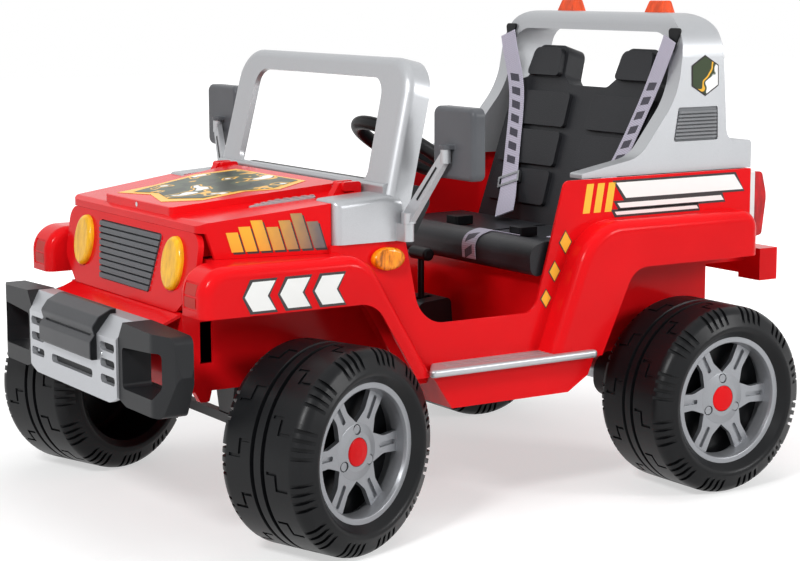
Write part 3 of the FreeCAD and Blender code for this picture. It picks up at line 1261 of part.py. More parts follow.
def mirror_arm():
    """Slanting arm from the cowl post to the mirror's ball."""
    start = point(POST_X, POST_Y, POST_TOP_Z + 8)
    end = arm_end()
    along = (end - start).normalize()
    across = along.cross(X_AXIS).normalize()
    through = along.cross(across).normalize()
    sections = []
    for centre, wide, thick in ((start, 12, 6), (end, 9, 5)):
        corners = [centre + across * wide + through * thick, centre - across * wide + through * thick,
                   centre - across * wide - through * thick, centre + across * wide - through * thick]
        sections.append(Part.makePolygon(corners + [corners[0]]))
    bar = Part.makeLoft(sections, True, True)
    boss = rod(12, point(POST_X, POST_Y, POST_TOP_Z + SKIN_GAP), point(POST_X, POST_Y, POST_TOP_Z + 18))
    floor_cut = block(0, FRONT_REACH, 0, BUMPER_HALF * 2, 0, POST_TOP_Z + SKIN_GAP)
    knob = rod(8.5, point(end.x, end.y, end.z - 11), point(end.x, end.y, end.z + 11))
    socket = rod(PIN_RADIUS + RUN_GAP, point(end.x, end.y, end.z - 9), end + Z_AXIS * 12)
    bore = rod(PIN_RADIUS + RUN_GAP, point(POST_X, POST_Y, POST_TOP_Z - 10),
               point(POST_X, POST_Y, POST_TOP_Z + 15 + RUN_GAP))
    return union([bar.cut(floor_cut), boss, knob]).cut([bore, socket])


def mirror_housing():
    """Rounded shell with a socket on its front and a recess for the glass."""
    half_y = MIRROR_WIDTH / 2
    half_z = MIRROR_HEIGHT / 2
    def outline(rim, corner):
        return rectangle(MIRROR_Y - half_y + rim, MIRROR_Y + half_y - rim, MIRROR_Z - half_z + rim,
                         MIRROR_Z + half_z - rim, corner)
    rear_x = MIRROR_X - MIRROR_THICK / 2
    front_x = MIRROR_X + MIRROR_THICK / 2
    shell = softened(cross_prism(outline(0, 14), rear_x, front_x), 8, lambda box: box.XMin > front_x - 1)
    recess = cross_prism(outline(5, 10), rear_x, rear_x + 3)
    end = arm_end()
    lug = plan_prism([(front_x - 1, end.y - 12), (front_x - 1, end.y + 12), (end.x + 9, end.y + 12, 9),
                      (end.x + 9, end.y - 12, 9)],
                     end.z + 11 + SKIN_GAP, end.z + 18)
    pin = rod(PIN_RADIUS, end - Z_AXIS * 8, end + Z_AXIS * 14)
    return union([shell.cut(recess), lug, pin])


# Wheels


def wheel():
    """Left blow-moulded wheel about the Y axis with its rim face at y = 0: tyre, web and hub tube."""
    inner_y = TYRE_BULGE - TYRE_WIDTH
    bore = RIM_RADIUS + SKIN_GAP
    middle = (TYRE_BULGE + inner_y) / 2
    crown = TYRE_RADIUS
    base = crown - TREAD_GROOVE
    rib = TREAD_RIB / 2
    shaft = AXLE_RADIUS + RUN_GAP
    hub_end = HUB_END_Y - RIM_FACE_Y
    outline = [
        (-RIM_DEPTH, shaft), (hub_end, shaft), (hub_end, HUB_TUBE_RADIUS, 2),
        (-RIM_DEPTH - WEB, HUB_TUBE_RADIUS, 6), (-RIM_DEPTH - WEB, bore, 10), (inner_y + 8, bore),
        (inner_y, bore + 12, 8), (inner_y, crown - 34, 10), (inner_y + 14, crown, TYRE_SHOULDER),
        (middle - rib - 7, crown), (middle - rib - 5, base), (middle - rib, base), (middle - rib + 1, crown),
        (middle + rib - 1, crown), (middle + rib, base), (middle + rib + 5, base), (middle + rib + 7, crown),
        (TYRE_BULGE - 14, crown, TYRE_SHOULDER), (TYRE_BULGE, crown - 34, 10), (TYRE_BULGE, bore + 14, 12),
        (0, bore), (-RIM_DEPTH, bore),
    ]
    liner = bore + TYRE_LINER
    room = turned_about_y([(inner_y + TYRE_LINER + 4, liner, 4), (inner_y + TYRE_LINER, crown - 42, 6),
                           (inner_y + 26, crown - TYRE_TREAD, 10), (TYRE_BULGE - 26, crown - TYRE_TREAD, 10),
                           (TYRE_BULGE - TYRE_LINER, crown - 42, 6), (TYRE_BULGE - TYRE_LINER - 8, liner, 4)])
    blow_hole = rod(4, point(0, middle, bore - 5), point(0, middle, liner + 5))
    return turned_about_y(outline).cut([room, blow_hole] + tread_cuts(middle, rib + 7))


def tread_cuts(middle, rib):
    """Zig-zag grooves in both halves of the tread and groups of notches across both shoulders."""
    cuts = []
    sector = 360 / TREAD_SECTORS
    half = TYRE_WIDTH / 2
    crown = TYRE_RADIUS
    for side in (-1, 1):
        start = middle + side * (rib + 4)
        bend = middle + side * (rib + 20)
        turn = bend + side * 5
        end = middle + side * (rib + 44)
        groove = plan_prism([(-17, start), (-12, start), (-12, bend), (13, bend), (13, end), (8, end),
                             (8, turn), (-17, turn)],
                            crown - TREAD_DEPTH, crown + 5)
        edge = middle + side * half
        notch = cross_prism([(edge - side * 29, crown + 2), (edge + side * 2, crown - 33),
                             (edge + side * 12, crown - 33),
                             (edge + side * 12, crown + 2)], -LUG_NOTCH / 2, LUG_NOTCH / 2)
        for index in range(TREAD_SECTORS):
            turn_by = sector * (index + 0.25 * side)
            cuts.append(turned(groove, ORIGIN, Y_AXIS, turn_by))
            cuts += [turned(notch, ORIGIN, Y_AXIS, turn_by + LUG_PITCH * row) for row in range(LUG_NOTCHES)]
    return cuts


def rim():
    """Deep-dish trim with six grooved spokes and three moulded bolt heads."""
    dish = -RIM_DISH
    back = dish - RIM_DISC
    lip = RIM_RADIUS - RIM_LIP
    ring = turned_about_y([(-RIM_DEPTH, RIM_RADIUS - 5), (-RIM_DEPTH, RIM_RADIUS), (0, RIM_RADIUS),
                           (0, RIM_RADIUS - 9, 2),
                           (-6, lip + 2, 3), (dish, lip), (back, lip), (back, lip + 6)])
    hub = turned_about_y([(back, AXLE_RADIUS + RUN_GAP), (back, HUB_RADIUS), (dish, HUB_RADIUS, 2),
                          (dish + 3, CAP_RADIUS + 8, 3),
                          (dish + 3, CAP_RADIUS + SKIN_GAP), (dish - 2, CAP_RADIUS + SKIN_GAP),
                          (dish - 2, AXLE_RADIUS + RUN_GAP)])
    length = lip + 3
    half = SPOKE_WIDTH / 2
    spoke = side_prism([(HUB_RADIUS - 12, -half - 9), (HUB_RADIUS - 12, half + 9), (66, half - 3, 26),
                        (length, half),
                        (length, -half), (66, -half + 3, 26)], back, dish)
    groove = side_prism(rectangle(HUB_RADIUS + 10, lip - 4, -SPOKE_SLOT / 2, SPOKE_SLOT / 2, 3), dish - 5,
                        dish + 1)
    spoke = spoke.cut(groove)
    spokes = [turned(spoke, ORIGIN, Y_AXIS, 360 / SPOKES * index) for index in range(SPOKES)]
    whole = union([ring, hub] + spokes)
    for index in range(BOLTS):
        angle = math.radians(360 / BOLTS * index + 90)
        centre = point(BOLT_CIRCLE * math.cos(angle), 0, BOLT_CIRCLE * math.sin(angle))
        whole = whole.cut(rod(BOLT_RADIUS + 1.5, centre + Y_AXIS * (dish - 5), centre + Y_AXIS * (dish + 6)))
        whole = whole.fuse(rod(BOLT_RADIUS, centre + Y_AXIS * (dish - 5), centre + Y_AXIS * (dish + 1)))
    return whole.removeSplitter()


def wheel_cap():
    seat = -RIM_DISH - 2
    return turned_about_y([(seat, 0), (seat, CAP_RADIUS), (seat + CAP_HEIGHT - 2, CAP_RADIUS, 3),
                           (seat + CAP_HEIGHT, 8), (seat + CAP_HEIGHT, 0)])


def wheel_place(shape, end, side):
    """Put a left-wheel shape at an axle end: end 1 is front, side 1 is left; front wheels stand steered."""
    x = FRONT_AXLE_X if end > 0 else REAR_AXLE_X
    placed = moved(shape, x, RIM_FACE_Y, AXLE_Z)
    if side < 0:
        placed = mirrored(placed)
    if end > 0:
        placed = turned(placed, point(x, side * KINGPIN_Y, 0), Z_AXIS, STEER_REST)
    return placed


def body_screws():
    """Screw heads on the bumper plate and inside its lowest windows."""
    heads = []
    face_x = BUMPER_PLATE_X + BUMPER_PLATE_THICK
    between = (SLOT_LEVELS[0] + SLOT_LEVELS[1]) / 2
    for x, y, z in ((BUMPER_PLATE_X, SLOT_OUTER - 9, SLOT_LEVELS[2]), (face_x, SLOT_INNER + 6, between)):
        head = Part.makeCone(4, 2.6, 2, point(x, y, z), X_AXIS)
        heads += [head, mirrored(head)]
    return Part.makeCompound(heads)


def build():
    os.makedirs("parts", exist_ok=True)
    shell = body_shell()
    nodes = {
        "front_body": body_length(shell, SEAM_FRONT_X, FRONT_REACH),
        "cabin_floor": body_length(shell, SEAM_REAR_X, SEAM_FRONT_X),
        "rear_body": body_length(shell, REAR_REACH, SEAM_REAR_X),
    }
    makers = [
        front_fascia, grille, headlight_lenses, front_bumper, bumper_plate, winch_cover, hood, hood_vents,
        hinge_brackets, windscreen_frame, dashboard, roll_bar, side_vents, beacons, tail_light_bases,
        tail_light_lenses, rear_bumper, running_boards, turn_signals, seat_cushion, seat_back,
        belt_strap_left, belt_strap_right, belt_lap, belt_anchors, belt_buckles, battery, gearboxes,
        drive_motors, rear_axle, front_axle_beam, knuckle_left, knuckle_right, tie_rod, steering_wheel,
        steering_column, column_bracket, gear_gate, gear_lever, accelerator_pedal, body_screws,
    ]
    for maker in makers:
        nodes[maker.__name__] = maker()
    for name, maker in (("mirror_arm", mirror_arm), ("mirror_housing", mirror_housing)):
        nodes[name + "_left"] = maker()
        nodes[name + "_right"] = mirrored(maker())
    for name, shape in (("wheel", wheel()), ("rim", rim()), ("wheel_cap", wheel_cap())):
        for end, end_name in ((1, "front"), (-1, "rear")):
            for side, side_name in ((1, "left"), (-1, "right")):
                nodes[f"{name}_{end_name}_{side_name}"] = wheel_place(shape, end, side)
    for name, shape in nodes.items():
        shape.exportStep(f"parts/{name}.step")
        print(name, len(shape.Solids), round(shape.Volume / 1000, 1), shape.isValid())


build()
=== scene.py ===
import math

import bpy
from bpy.props import FloatProperty, FloatVectorProperty, IntProperty, PointerProperty
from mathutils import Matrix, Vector
from mathutils.bvhtree import BVHTree


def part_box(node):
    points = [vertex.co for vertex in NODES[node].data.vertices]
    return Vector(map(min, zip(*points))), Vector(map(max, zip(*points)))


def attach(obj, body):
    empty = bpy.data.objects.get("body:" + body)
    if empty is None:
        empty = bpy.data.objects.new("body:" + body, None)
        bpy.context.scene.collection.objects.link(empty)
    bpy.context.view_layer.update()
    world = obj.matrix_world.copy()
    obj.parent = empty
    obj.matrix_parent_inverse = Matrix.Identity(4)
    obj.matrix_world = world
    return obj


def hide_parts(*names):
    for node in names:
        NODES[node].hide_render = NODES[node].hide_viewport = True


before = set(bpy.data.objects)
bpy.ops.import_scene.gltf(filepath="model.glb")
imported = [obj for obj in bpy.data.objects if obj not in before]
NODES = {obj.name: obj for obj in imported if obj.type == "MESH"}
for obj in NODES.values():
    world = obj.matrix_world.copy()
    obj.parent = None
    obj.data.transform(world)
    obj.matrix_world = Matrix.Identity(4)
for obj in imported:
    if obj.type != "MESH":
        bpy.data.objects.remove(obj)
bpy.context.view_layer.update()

bl_info = {
    "name": "Ride-on car looks",
    "version": (1, 0, 0),
    "blender": (4, 5, 0),
    "location": "View3D > Sidebar > Ride-on Car",
    "description": "Finishes, belts, stickers and studio for a two-seat toy car",
    "category": "Object",
}

SIDES = {"left": 1, "right": -1}
WHEELS = [f"{end}_{side}" for end in ("front", "rear") for side in SIDES]
CORNERS = ((1, 1), (-1, 1), (-1, -1), (1, -1))

# Rounding of moulded edges, in metres
SEAT_EDGE = 0.004
BROAD_EDGE = 0.0015
TRIM_EDGE = 0.0012
SMALL_EDGE = 0.001
LOUVRE_EDGE = 0.0008
BAR_EDGE = 0.0006
SCREW_EDGE = 0.0004
ROUNDED_FROM = math.radians(40)
FLAT_WITHIN = math.radians(0.5)
WELD_GAP = 0.00001

# Belt paths on the left side: x, y and z in metres, from the top or the outside
SHOULDER_PATH = ((-0.4193, 0.249, 0.790), (-0.4165, 0.238, 0.762), (-0.406, 0.200, 0.674),
                 (-0.370, 0.164, 0.560), (-0.338, 0.132, 0.492), (-0.300, 0.092, 0.448))
LAP_PATH = ((-0.281, 0.283, 0.47), (-0.262, 0.215, 0.47), (-0.243, 0.142, 0.47))
LOOP_PATH = ((-0.186, 0.104, 0.46), (-0.150, 0.104, 0.47), (-0.118, 0.104, 0.48), (-0.092, 0.104, 0.47),
             (-0.074, 0.104, 0.445), (-0.070, 0.104, 0.42), (-0.072, 0.104, 0.398))
SHOULDER_LEAN = 0.1
LAP_ACROSS = (1.0, -0.26, 0.0)
LOOP_ACROSS = (0.0, 1.0, 0.0)
STRAP_GAP = 0.0004
SLIDE_SHARE = 0.72
SLIDE_HALF_DEPTH = 0.0035

# Planes in which the outlines of films are drawn, and how far outside them each corner starts its drop
BESIDE_CAR = 0.4
BESIDE_WINCH = 0.3
AHEAD_OF_CAR = 0.7
ABOVE_HOOD = 0.7
DROP = 0.3

# Name, place, size in metres, power in watts, and whether glossy surfaces show it
LAMPS = (("Key", (3.0, 2.0, 2.8), 0.7, 98.0, True),
         ("Fill", (-2.2, 3.2, 1.8), 0.9, 52.0, True),
         ("Top", (-0.2, 0.4, 3.6), 2.4, 46.0, False),
         ("Back", (-2.0, -3.0, 2.4), 2.6, 22.0, False))
LAMP_AIM = (0, 0, 0.4)
FLOOR_HALF = 14.0
WHITE = (1.0, 1.0, 1.0, 1.0)


def to_linear(code):
    """Linear colour of an sRGB hex code such as "c81e1e"."""
    channels = [int(code[index:index + 2], 16) / 255 for index in (0, 2, 4)]
    return tuple(c / 12.92 if c <= 0.04045 else ((c + 0.055) / 1.055) ** 2.4 for c in channels)


def opaque(colour):
    return (*colour[:3], 1.0)


def shade(colour, factor):
    """A darker or lighter neighbour of a colour."""
    return opaque([min(1.0, channel * factor) for channel in colour[:3]])


def per_mm(size):
    """Texture scale whose pattern repeats about every size millimetres."""
    return 1000.0 / size


# Shader nodes


def add(tree, kind, sockets=(), stops=(), **settings):
    """Add one shader node with its settings; sockets take values or the sockets that feed them."""
    node = tree.nodes.new("ShaderNode" + kind)
    for name, value in settings.items():
        setattr(node, name, value)
    for name, value in dict(sockets).items():
        if isinstance(value, bpy.types.NodeSocket):
            tree.links.new(value, node.inputs[name])
        else:
            node.inputs[name].default_value = value
    if stops:
        elements = node.color_ramp.elements
        while len(elements) < len(stops):
            elements.new(1.0)
        for element, (position, colour) in zip(elements, stops):
            element.position = position
            element.color = colour
    return node


def object_place(tree):
    return add(tree, "TexCoord").outputs["Object"]


def noise(tree, place, size_mm, detail=2.0):
    """Noise level with blotches of about size_mm."""
    return add(tree, "TexNoise", {"Vector": place, "Scale": per_mm(size_mm), "Detail": detail}).outputs["Fac"]


def cells(tree, place, size_mm, feature):
    """Distance level of a cell pattern of about size_mm."""
    pattern = add(tree, "TexVoronoi", {"Vector": place, "Scale": per_mm(size_mm)}, feature=feature)
    return pattern.outputs["Distance"]


def ramp(tree, level, *stops):
    """Colour that a level picks from stops, each a position and a colour."""
    return add(tree, "ValToRGB", {"Fac": level}, stops=stops).outputs["Color"]


def band(tree, level, low, high):
    """Level from 0 to 1 mapped to a range."""
    return add(tree, "MapRange", {"Value": level, "To Min": low, "To Max": high}).outputs["Result"]


def calc(tree, operation, *values):
    return add(tree, "Math", dict(enumerate(values)), operation=operation).outputs[0]


def relief(tree, height, strength, depth_mm):
    """Normal bent by a height level."""
    return add(tree, "Bump", {"Height": height, "Strength": strength,
                              "Distance": depth_mm / 1000}).outputs["Normal"]


def new_tree(name):
    material = bpy.data.materials.new(name)
    material.use_nodes = True
    material.node_tree.nodes.clear()
    return material, material.node_tree


def close_tree(tree, shader):
    add(tree, "OutputMaterial", {"Surface": shader.outputs[0]})


def close_principled(tree, sockets):
    close_tree(tree, add(tree, "BsdfPrincipled", sockets))


# Sizes and colours a user would change


def colour_property(name, code, description):
    return FloatVectorProperty(name=name, description=description, subtype="COLOR", size=3,
                               min=0.0, max=1.0, default=to_linear(code))


class FinishColours(bpy.types.PropertyGroup):
    red: colour_property("Red", "de1218", "Body red")
    silver: colour_property("Silver", "b2b4b7", "Metallic silver plastic")
    pale_grey: colour_property("Pale grey", "b6b8bc", "Bumper plate grey")
    dark_grey: colour_property("Dark grey", "1f2022", "Bumper and dashboard grey")
    winch_grey: colour_property("Winch grey", "3d3e41", "Winch cover grey")
    mirror_grey: colour_property("Mirror grey", "56585c", "Mirror housing and grille grey")
    vent_grey: colour_property("Vent grey", "808285", "Side vent grey")
    rim_grey: colour_property("Rim grey", "939599", "Wheel trim grey")
    # Darker than the body red as painted shade of the marker recesses.
    marker_red_and_shade: colour_property("Marker red", "b5352e", "Fender marker red")
    black: colour_property("Black", "101113", "Wheel and control black")
    charcoal: colour_property("Charcoal", "27282b", "Seat charcoal")
    amber: colour_property("Amber", "f0b41c", "Headlight lens amber")
    orange: colour_property("Orange", "dd470c", "Beacon orange")
    signal: colour_property("Signal", "e6800f", "Turn signal amber")
    lens_red: colour_property("Lens red", "b80d13", "Tail lens red")
    webbing: colour_property("Webbing", "b9b5c6", "Belt lilac grey")
    belt_print: colour_property("Belt print", "3b3945", "Marks woven into the belts")
    sticker_yellow: colour_property("Sticker yellow", "f2b53c", "Sticker yellow")
    sticker_grey: colour_property("Sticker grey", "6d6a6a", "Sticker grey")
    sticker_white: colour_property("Sticker white", "f4f4f2", "Sticker white")
    sticker_dark: colour_property("Sticker dark", "3a3536", "Sticker edging")
    sticker_green: colour_property("Sticker green", "39452f", "Sticker green")


class BeltSizes(bpy.types.PropertyGroup):
    width: FloatProperty(name="Width", description="Webbing width", default=0.042, unit="LENGTH")
    thickness: FloatProperty(name="Thickness", description="Webbing thickness", default=0.0022, unit="LENGTH")
    sections: IntProperty(name="Sections", description="Sections along each strap", default=48, min=8)


class StickerSizes(bpy.types.PropertyGroup):
    thickness: FloatProperty(name="Thickness", description="Film thickness", default=0.0003, unit="LENGTH")
    lift: FloatProperty(name="Lift", description="Gap under the film", default=0.0003, unit="LENGTH")


class StudioView(bpy.types.PropertyGroup):
    place: FloatVectorProperty(name="Place", description="Camera place", subtype="TRANSLATION",
                               default=(1.903, 2.991, 0.896))
    yaw: FloatProperty(name="Yaw", description="Camera turn from -Y towards -X", subtype="ANGLE",
                       default=math.radians(32.5))
    pitch: FloatProperty(name="Pitch", description="Camera tilt below level", subtype="ANGLE",
                         default=math.radians(8.69))
    roll: FloatProperty(name="Roll", description="Camera roll", subtype="ANGLE", default=math.radians(-0.1))
    lens: FloatProperty(name="Lens", description="Focal length on a 36 mm sensor", subtype="DISTANCE_CAMERA",
                        default=88.6)


class RideOnCar(bpy.types.PropertyGroup):
    colours: PointerProperty(type=FinishColours)
    belts: PointerProperty(type=BeltSizes)
    stickers: PointerProperty(type=StickerSizes)
    studio: PointerProperty(type=StudioView)


def settings():
    return bpy.context.scene.ride_on_car


# Materials


def moulded_gloss(name, colour, roughness, peel, sheen):
    """Plastic moulded in a polished tool: clean gloss, faint orange peel and slow colour drift."""
    material, tree = new_tree(name)
    place = object_place(tree)
    drift = noise(tree, place, size_mm=180)
    wear = noise(tree, place, size_mm=35, detail=4.0)
    skin = noise(tree, place, size_mm=4, detail=1.0)
    close_principled(tree, {
        "Base Color": ramp(tree, drift, (0.3, shade(colour, 0.93)), (0.7, shade(colour, 1.05))),
        "Roughness": band(tree, wear, roughness - 0.03, roughness + 0.05),
        "Normal": relief(tree, skin, peel, depth_mm=0.4),
        "IOR": 1.49, "Specular IOR Level": sheen})
    return material


def metallic_plastic(name, colour, roughness):
    """Plastic moulded with aluminium flake: soft metal sheen, fine sparkle and faint flow lines."""
    material, tree = new_tree(name)
    place = object_place(tree)
    # Real flake is about 0.05 mm; it is drawn at 0.8 mm so that it shows in the render.
    flake = cells(tree, place, size_mm=0.8, feature="F1")
    flow = noise(tree, place, size_mm=60, detail=3.0)
    close_principled(tree, {
        "Base Color": ramp(tree, flake, (0.0, shade(colour, 1.1)), (0.8, shade(colour, 0.93))),
        "Roughness": band(tree, flow, roughness - 0.04, roughness + 0.06),
        "Normal": relief(tree, flow, 0.05, depth_mm=1.0),
        "Metallic": 0.6, "IOR": 1.5, "Specular IOR Level": 0.35})
    return material


def grained_plastic(name, colour, roughness, grain_mm, depth):
    """Plastic moulded in an etched tool: satin surface with a pebbled grain."""
    material, tree = new_tree(name)
    place = object_place(tree)
    grain = cells(tree, place, grain_mm, feature="SMOOTH_F1")
    fine = noise(tree, place, grain_mm * 0.4, detail=3.0)
    dust = noise(tree, place, size_mm=120, detail=5.0)
    close_principled(tree, {
        "Base Color": ramp(tree, dust, (0.3, shade(colour, 0.9)), (0.75, shade(colour, 1.12))),
        "Normal": relief(tree, calc(tree, "ADD", grain, fine), depth, depth_mm=0.6),
        "Roughness": roughness, "IOR": 1.5, "Specular IOR Level": 0.2})
    return material


def tinted_lens(name, colour, rib_mm, contrast):
    """Tinted polycarbonate with moulded prisms inside: soft upright streaks under a polished face."""
    material, tree = new_tree(name)
    place = object_place(tree)
    upright = add(tree, "VectorMath", {0: place, 1: (1.0, 1.0, 0.28)}, operation="MULTIPLY").outputs[0]
    streaks = noise(tree, upright, rib_mm * 2, detail=3.0)
    prisms = cells(tree, place, rib_mm, feature="SMOOTH_F1")
    close_principled(tree, {
        "Base Color": ramp(tree, streaks, (0.32, shade(colour, 1 - contrast)), (0.5, opaque(colour)),
                           (0.66, shade(colour, 1 + contrast))),
        "Normal": relief(tree, prisms, 0.2, depth_mm=1.0),
        "Roughness": 0.16, "IOR": 1.585, "Specular IOR Level": 0.25})
    return material


def woven_webbing(name, colour, marks):
    """Polyester webbing: ribbed weave with painted shade in its grooves, a soft sheen and a row of dark woven
    marks.
    """
    material, tree = new_tree(name)
    weave = add(tree, "UVMap").outputs["UV"]
    # Real threads are about 0.6 mm; ribs are drawn at 2 and 3 mm so that they show in the render.
    # At scale 1 the wave texture draws about 6.3 ribs and grooves in a metre.
    waves = 6.3
    ribs = add(tree, "TexWave", {"Vector": weave, "Scale": per_mm(2) / waves, "Distortion": 0.4,
                                 "Detail": 1.0}, bands_direction="Y").outputs["Fac"]
    warp = add(tree, "TexWave", {"Vector": weave, "Scale": per_mm(3) / waves, "Distortion": 0.2},
               bands_direction="X").outputs["Fac"]
    # Ribs are drawn lighter on their crests and darker in the grooves between them: painted shade.
    tint = ramp(tree, ribs, (0.0, shade(colour, 0.78)), (1.0, shade(colour, 1.08)))
    # Each mark is a slanting bar that repeats along the printed run of the strap, in metres.
    half_width, pitch, share, start, end = 0.0115, 0.029, 0.55, 0.087, 0.29
    spot = add(tree, "SeparateXYZ", {"Vector": weave})
    slant = calc(tree, "MULTIPLY_ADD", spot.outputs["X"], 0.5, spot.outputs["Y"])
    phase = calc(tree, "FRACT", calc(tree, "DIVIDE", slant, pitch))
    mask = calc(tree, "LESS_THAN", phase, share)
    for limit in (calc(tree, "LESS_THAN", calc(tree, "ABSOLUTE", spot.outputs["X"]), half_width),
                  calc(tree, "GREATER_THAN", slant, start), calc(tree, "LESS_THAN", slant, end)):
        mask = calc(tree, "MULTIPLY", mask, limit)
    woven = add(tree, "MixRGB", {"Fac": mask, "Color1": tint, "Color2": opaque(marks)})
    close_principled(tree, {
        "Base Color": woven.outputs["Color"],
        "Normal": relief(tree, calc(tree, "ADD", ribs, warp), 0.35, depth_mm=0.5),
        "Roughness": 0.7, "Sheen Weight": 0.3, "Sheen Roughness": 0.4})
    return material


def steel(name, code, metallic, roughness):
    """Painted or zinc-plated steel: fine rolled grain and dull spots."""
    material, tree = new_tree(name)
    colour = to_linear(code)
    spots = noise(tree, object_place(tree), size_mm=9, detail=6.0)
    close_principled(tree, {
        "Base Color": ramp(tree, spots, (0.35, shade(colour, 0.8)), (0.7, shade(colour, 1.1))),
        "Roughness": band(tree, spots, roughness - 0.1, roughness + 0.12), "Metallic": metallic})
    return material


def printed_film(name, start_colour, end_colour, axis, span):
    """Printed vinyl film: flat satin ink that fades from one colour to another along an axis."""
    material, tree = new_tree(name)
    place = object_place(tree)
    along = add(tree, "SeparateXYZ", {"Vector": place}).outputs[axis]
    fade = add(tree, "MapRange", {"Value": along, "From Min": span[0], "From Max": span[1]}).outputs["Result"]
    speck = noise(tree, place, size_mm=14, detail=3.0)
    mixed = calc(tree, "MULTIPLY_ADD", speck, 0.16, fade)
    close_principled(tree, {
        "Base Color": ramp(tree, mixed, (0.1, opaque(start_colour)), (0.9, opaque(end_colour))),
        "Roughness": 0.28, "IOR": 1.46, "Specular IOR Level": 0.25})
    return material


def blotched_film(name, ground, dark, pale, warm):
    """Printed vinyl film with random blotches in dark, warm and pale tones."""
    material, tree = new_tree(name)
    blotches = noise(tree, object_place(tree), size_mm=48, detail=1.5)
    edges = ((0.41, dark), (0.42, ground), (0.53, ground), (0.54, warm), (0.57, warm), (0.58, ground),
             (0.61, ground), (0.62, pale))
    close_principled(tree, {
        "Base Color": ramp(tree, blotches, *[(position, opaque(colour)) for position, colour in edges]),
        "Roughness": 0.3, "IOR": 1.46, "Specular IOR Level": 0.25})
    return material


def mirror_glass(name):
    """Aluminised glass: bright reflection with a very slight haze."""
    material, tree = new_tree(name)
    haze = noise(tree, object_place(tree), size_mm=25)
    close_principled(tree, {
        "Base Color": opaque(to_linear("d9dcdf")),
        "Roughness": band(tree, haze, 0.02, 0.07), "Metallic": 1.0})
    return material


# Mesh helpers


def finish_nodes(names, material, edge_width):
    """Give CAD nodes their material and softly rounded edges."""
    for name in names:
        thing = NODES[name]
        thing.data.materials.clear()
        thing.data.materials.append(material)
        weld = thing.modifiers.new("Weld", "WELD")
        weld.merge_threshold = WELD_GAP
        flat = thing.modifiers.new("Flat faces", "DECIMATE")
        flat.decimate_type = "DISSOLVE"
        flat.angle_limit = FLAT_WITHIN
        edge = thing.modifiers.new("Edge", "BEVEL")
        edge.width = edge_width
        edge.segments = 2
        edge.limit_method = "ANGLE"
        edge.angle_limit = ROUNDED_FROM
        smooth = thing.modifiers.new("Normals", "WEIGHTED_NORMAL")
        smooth.keep_sharp = True


def new_piece(name, points, faces, material, body, uvs=None):
    mesh = bpy.data.meshes.new(name)
    mesh.from_pydata([tuple(p) for p in points], [], faces)
    mesh.materials.append(material)
    if uvs:
        layer = mesh.uv_layers.new(name="UVMap")
        for loop in mesh.loops:
            layer.data[loop.index].uv = uvs[loop.vertex_index]
    thing = bpy.data.objects.new(name, mesh)
    bpy.context.scene.collection.objects.link(thing)
    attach(thing, body)
    return thing


def slab_faces(count):
    """Faces of a closed slab: an outline of count points and the same outline below it."""
    faces = [list(range(count)), list(range(2 * count - 1, count - 1, -1))]
    for index in range(count):
        after = (index + 1) % count
        faces.append([index, index + count, after + count, after])
    return faces


def surface_of(*names):
    """Searchable surface of CAD nodes at rest."""
    points = []
    faces = []
    for name in names:
        base = len(points)
        mesh = NODES[name].data
        points += [vertex.co.copy() for vertex in mesh.vertices]
        faces += [[base + index for index in face.vertices] for face in mesh.polygons]
    return BVHTree.FromPolygons(points, faces)


def laid_on(surface, spot, lift):
    """Point just above the nearest place on a surface."""
    place, normal = surface.find_nearest(spot)[:2]
    return place + normal * lift


def sticker(name, outline, normal, surface, material, body, lift):
    """Film pressed against a surface: the outline is in space, each point slides along normal onto it."""
    normal = Vector(normal).normalized()
    landed = []
    for corner in outline:
        hit = surface.ray_cast(Vector(corner) + normal * DROP, -normal, 2 * DROP)[0]
        if hit is None:
            raise RuntimeError(f"{name} has a corner off its surface at {tuple(corner)}")
        landed.append(hit)
    area = sum((a.cross(b) for a, b in zip(landed, landed[1:] + landed[:1])), Vector())
    if area.dot(normal) < 0:
        landed.reverse()
    top = [p + normal * (lift + settings().stickers.thickness) for p in landed]
    low = [p + normal * lift for p in landed]
    return new_piece(name, top + low, slab_faces(len(landed)), material, body)


def smooth_line(path, count):
    """Points on a Catmull-Rom curve through a path, spread evenly over its spans."""
    ends = [path[0] * 2 - path[1]] + list(path) + [path[-1] * 2 - path[-2]]
    points = []
    spans = len(path) - 1
    for index in range(count):
        spot = index / (count - 1) * spans
        span = min(int(spot), spans - 1)
        t = spot - span
        a, b, c, d = ends[span:span + 4]
        points.append(0.5 * ((2 * b) + (c - a) * t + (2 * a - 5 * b + 4 * c - d) * t * t
                             + (3 * b - a - 3 * c + d) * t * t * t))
    return points


def strap_axes(line, index, across):
    """Directions along, across and through a strap at one point of its line."""
    along = (line[min(index + 1, len(line) - 1)] - line[max(index - 1, 0)]).normalized()
    wide = (across - along * across.dot(along)).normalized()
    return along, wide, along.cross(wide)


def rounded_rectangle(half_wide, half_tall, radius, steps=6):
    """Flat outline of a rectangle with round corners, anticlockwise."""
    outline = []
    for start, (u, v) in enumerate(CORNERS):
        for step in range(steps + 1):
            angle = math.radians(90 * start + 90 * step / steps)
            outline.append((u * (half_wide - radius) + radius * math.cos(angle),
                            v * (half_tall - radius) + radius * math.sin(angle)))
    return outline


# Operators, one for each piece or group of like pieces


class FinishBody(bpy.types.Operator):
    """Red moulded body, hood and the pieces in its colour"""
    bl_idname = "ride_on.finish_body"
    bl_label = "Finish red body"

    def execute(self, context):
        red = moulded_gloss("Red moulded polypropylene", settings().colours.red, roughness=0.17, peel=0.05,
                            sheen=0.09)
        finish_nodes(("front_body", "cabin_floor", "rear_body", "front_fascia", "hood", "hinge_brackets",
                      "rear_bumper"), red, BROAD_EDGE)
        finish_nodes([f"wheel_cap_{wheel}" for wheel in WHEELS], red, SMALL_EDGE)
        return {"FINISHED"}


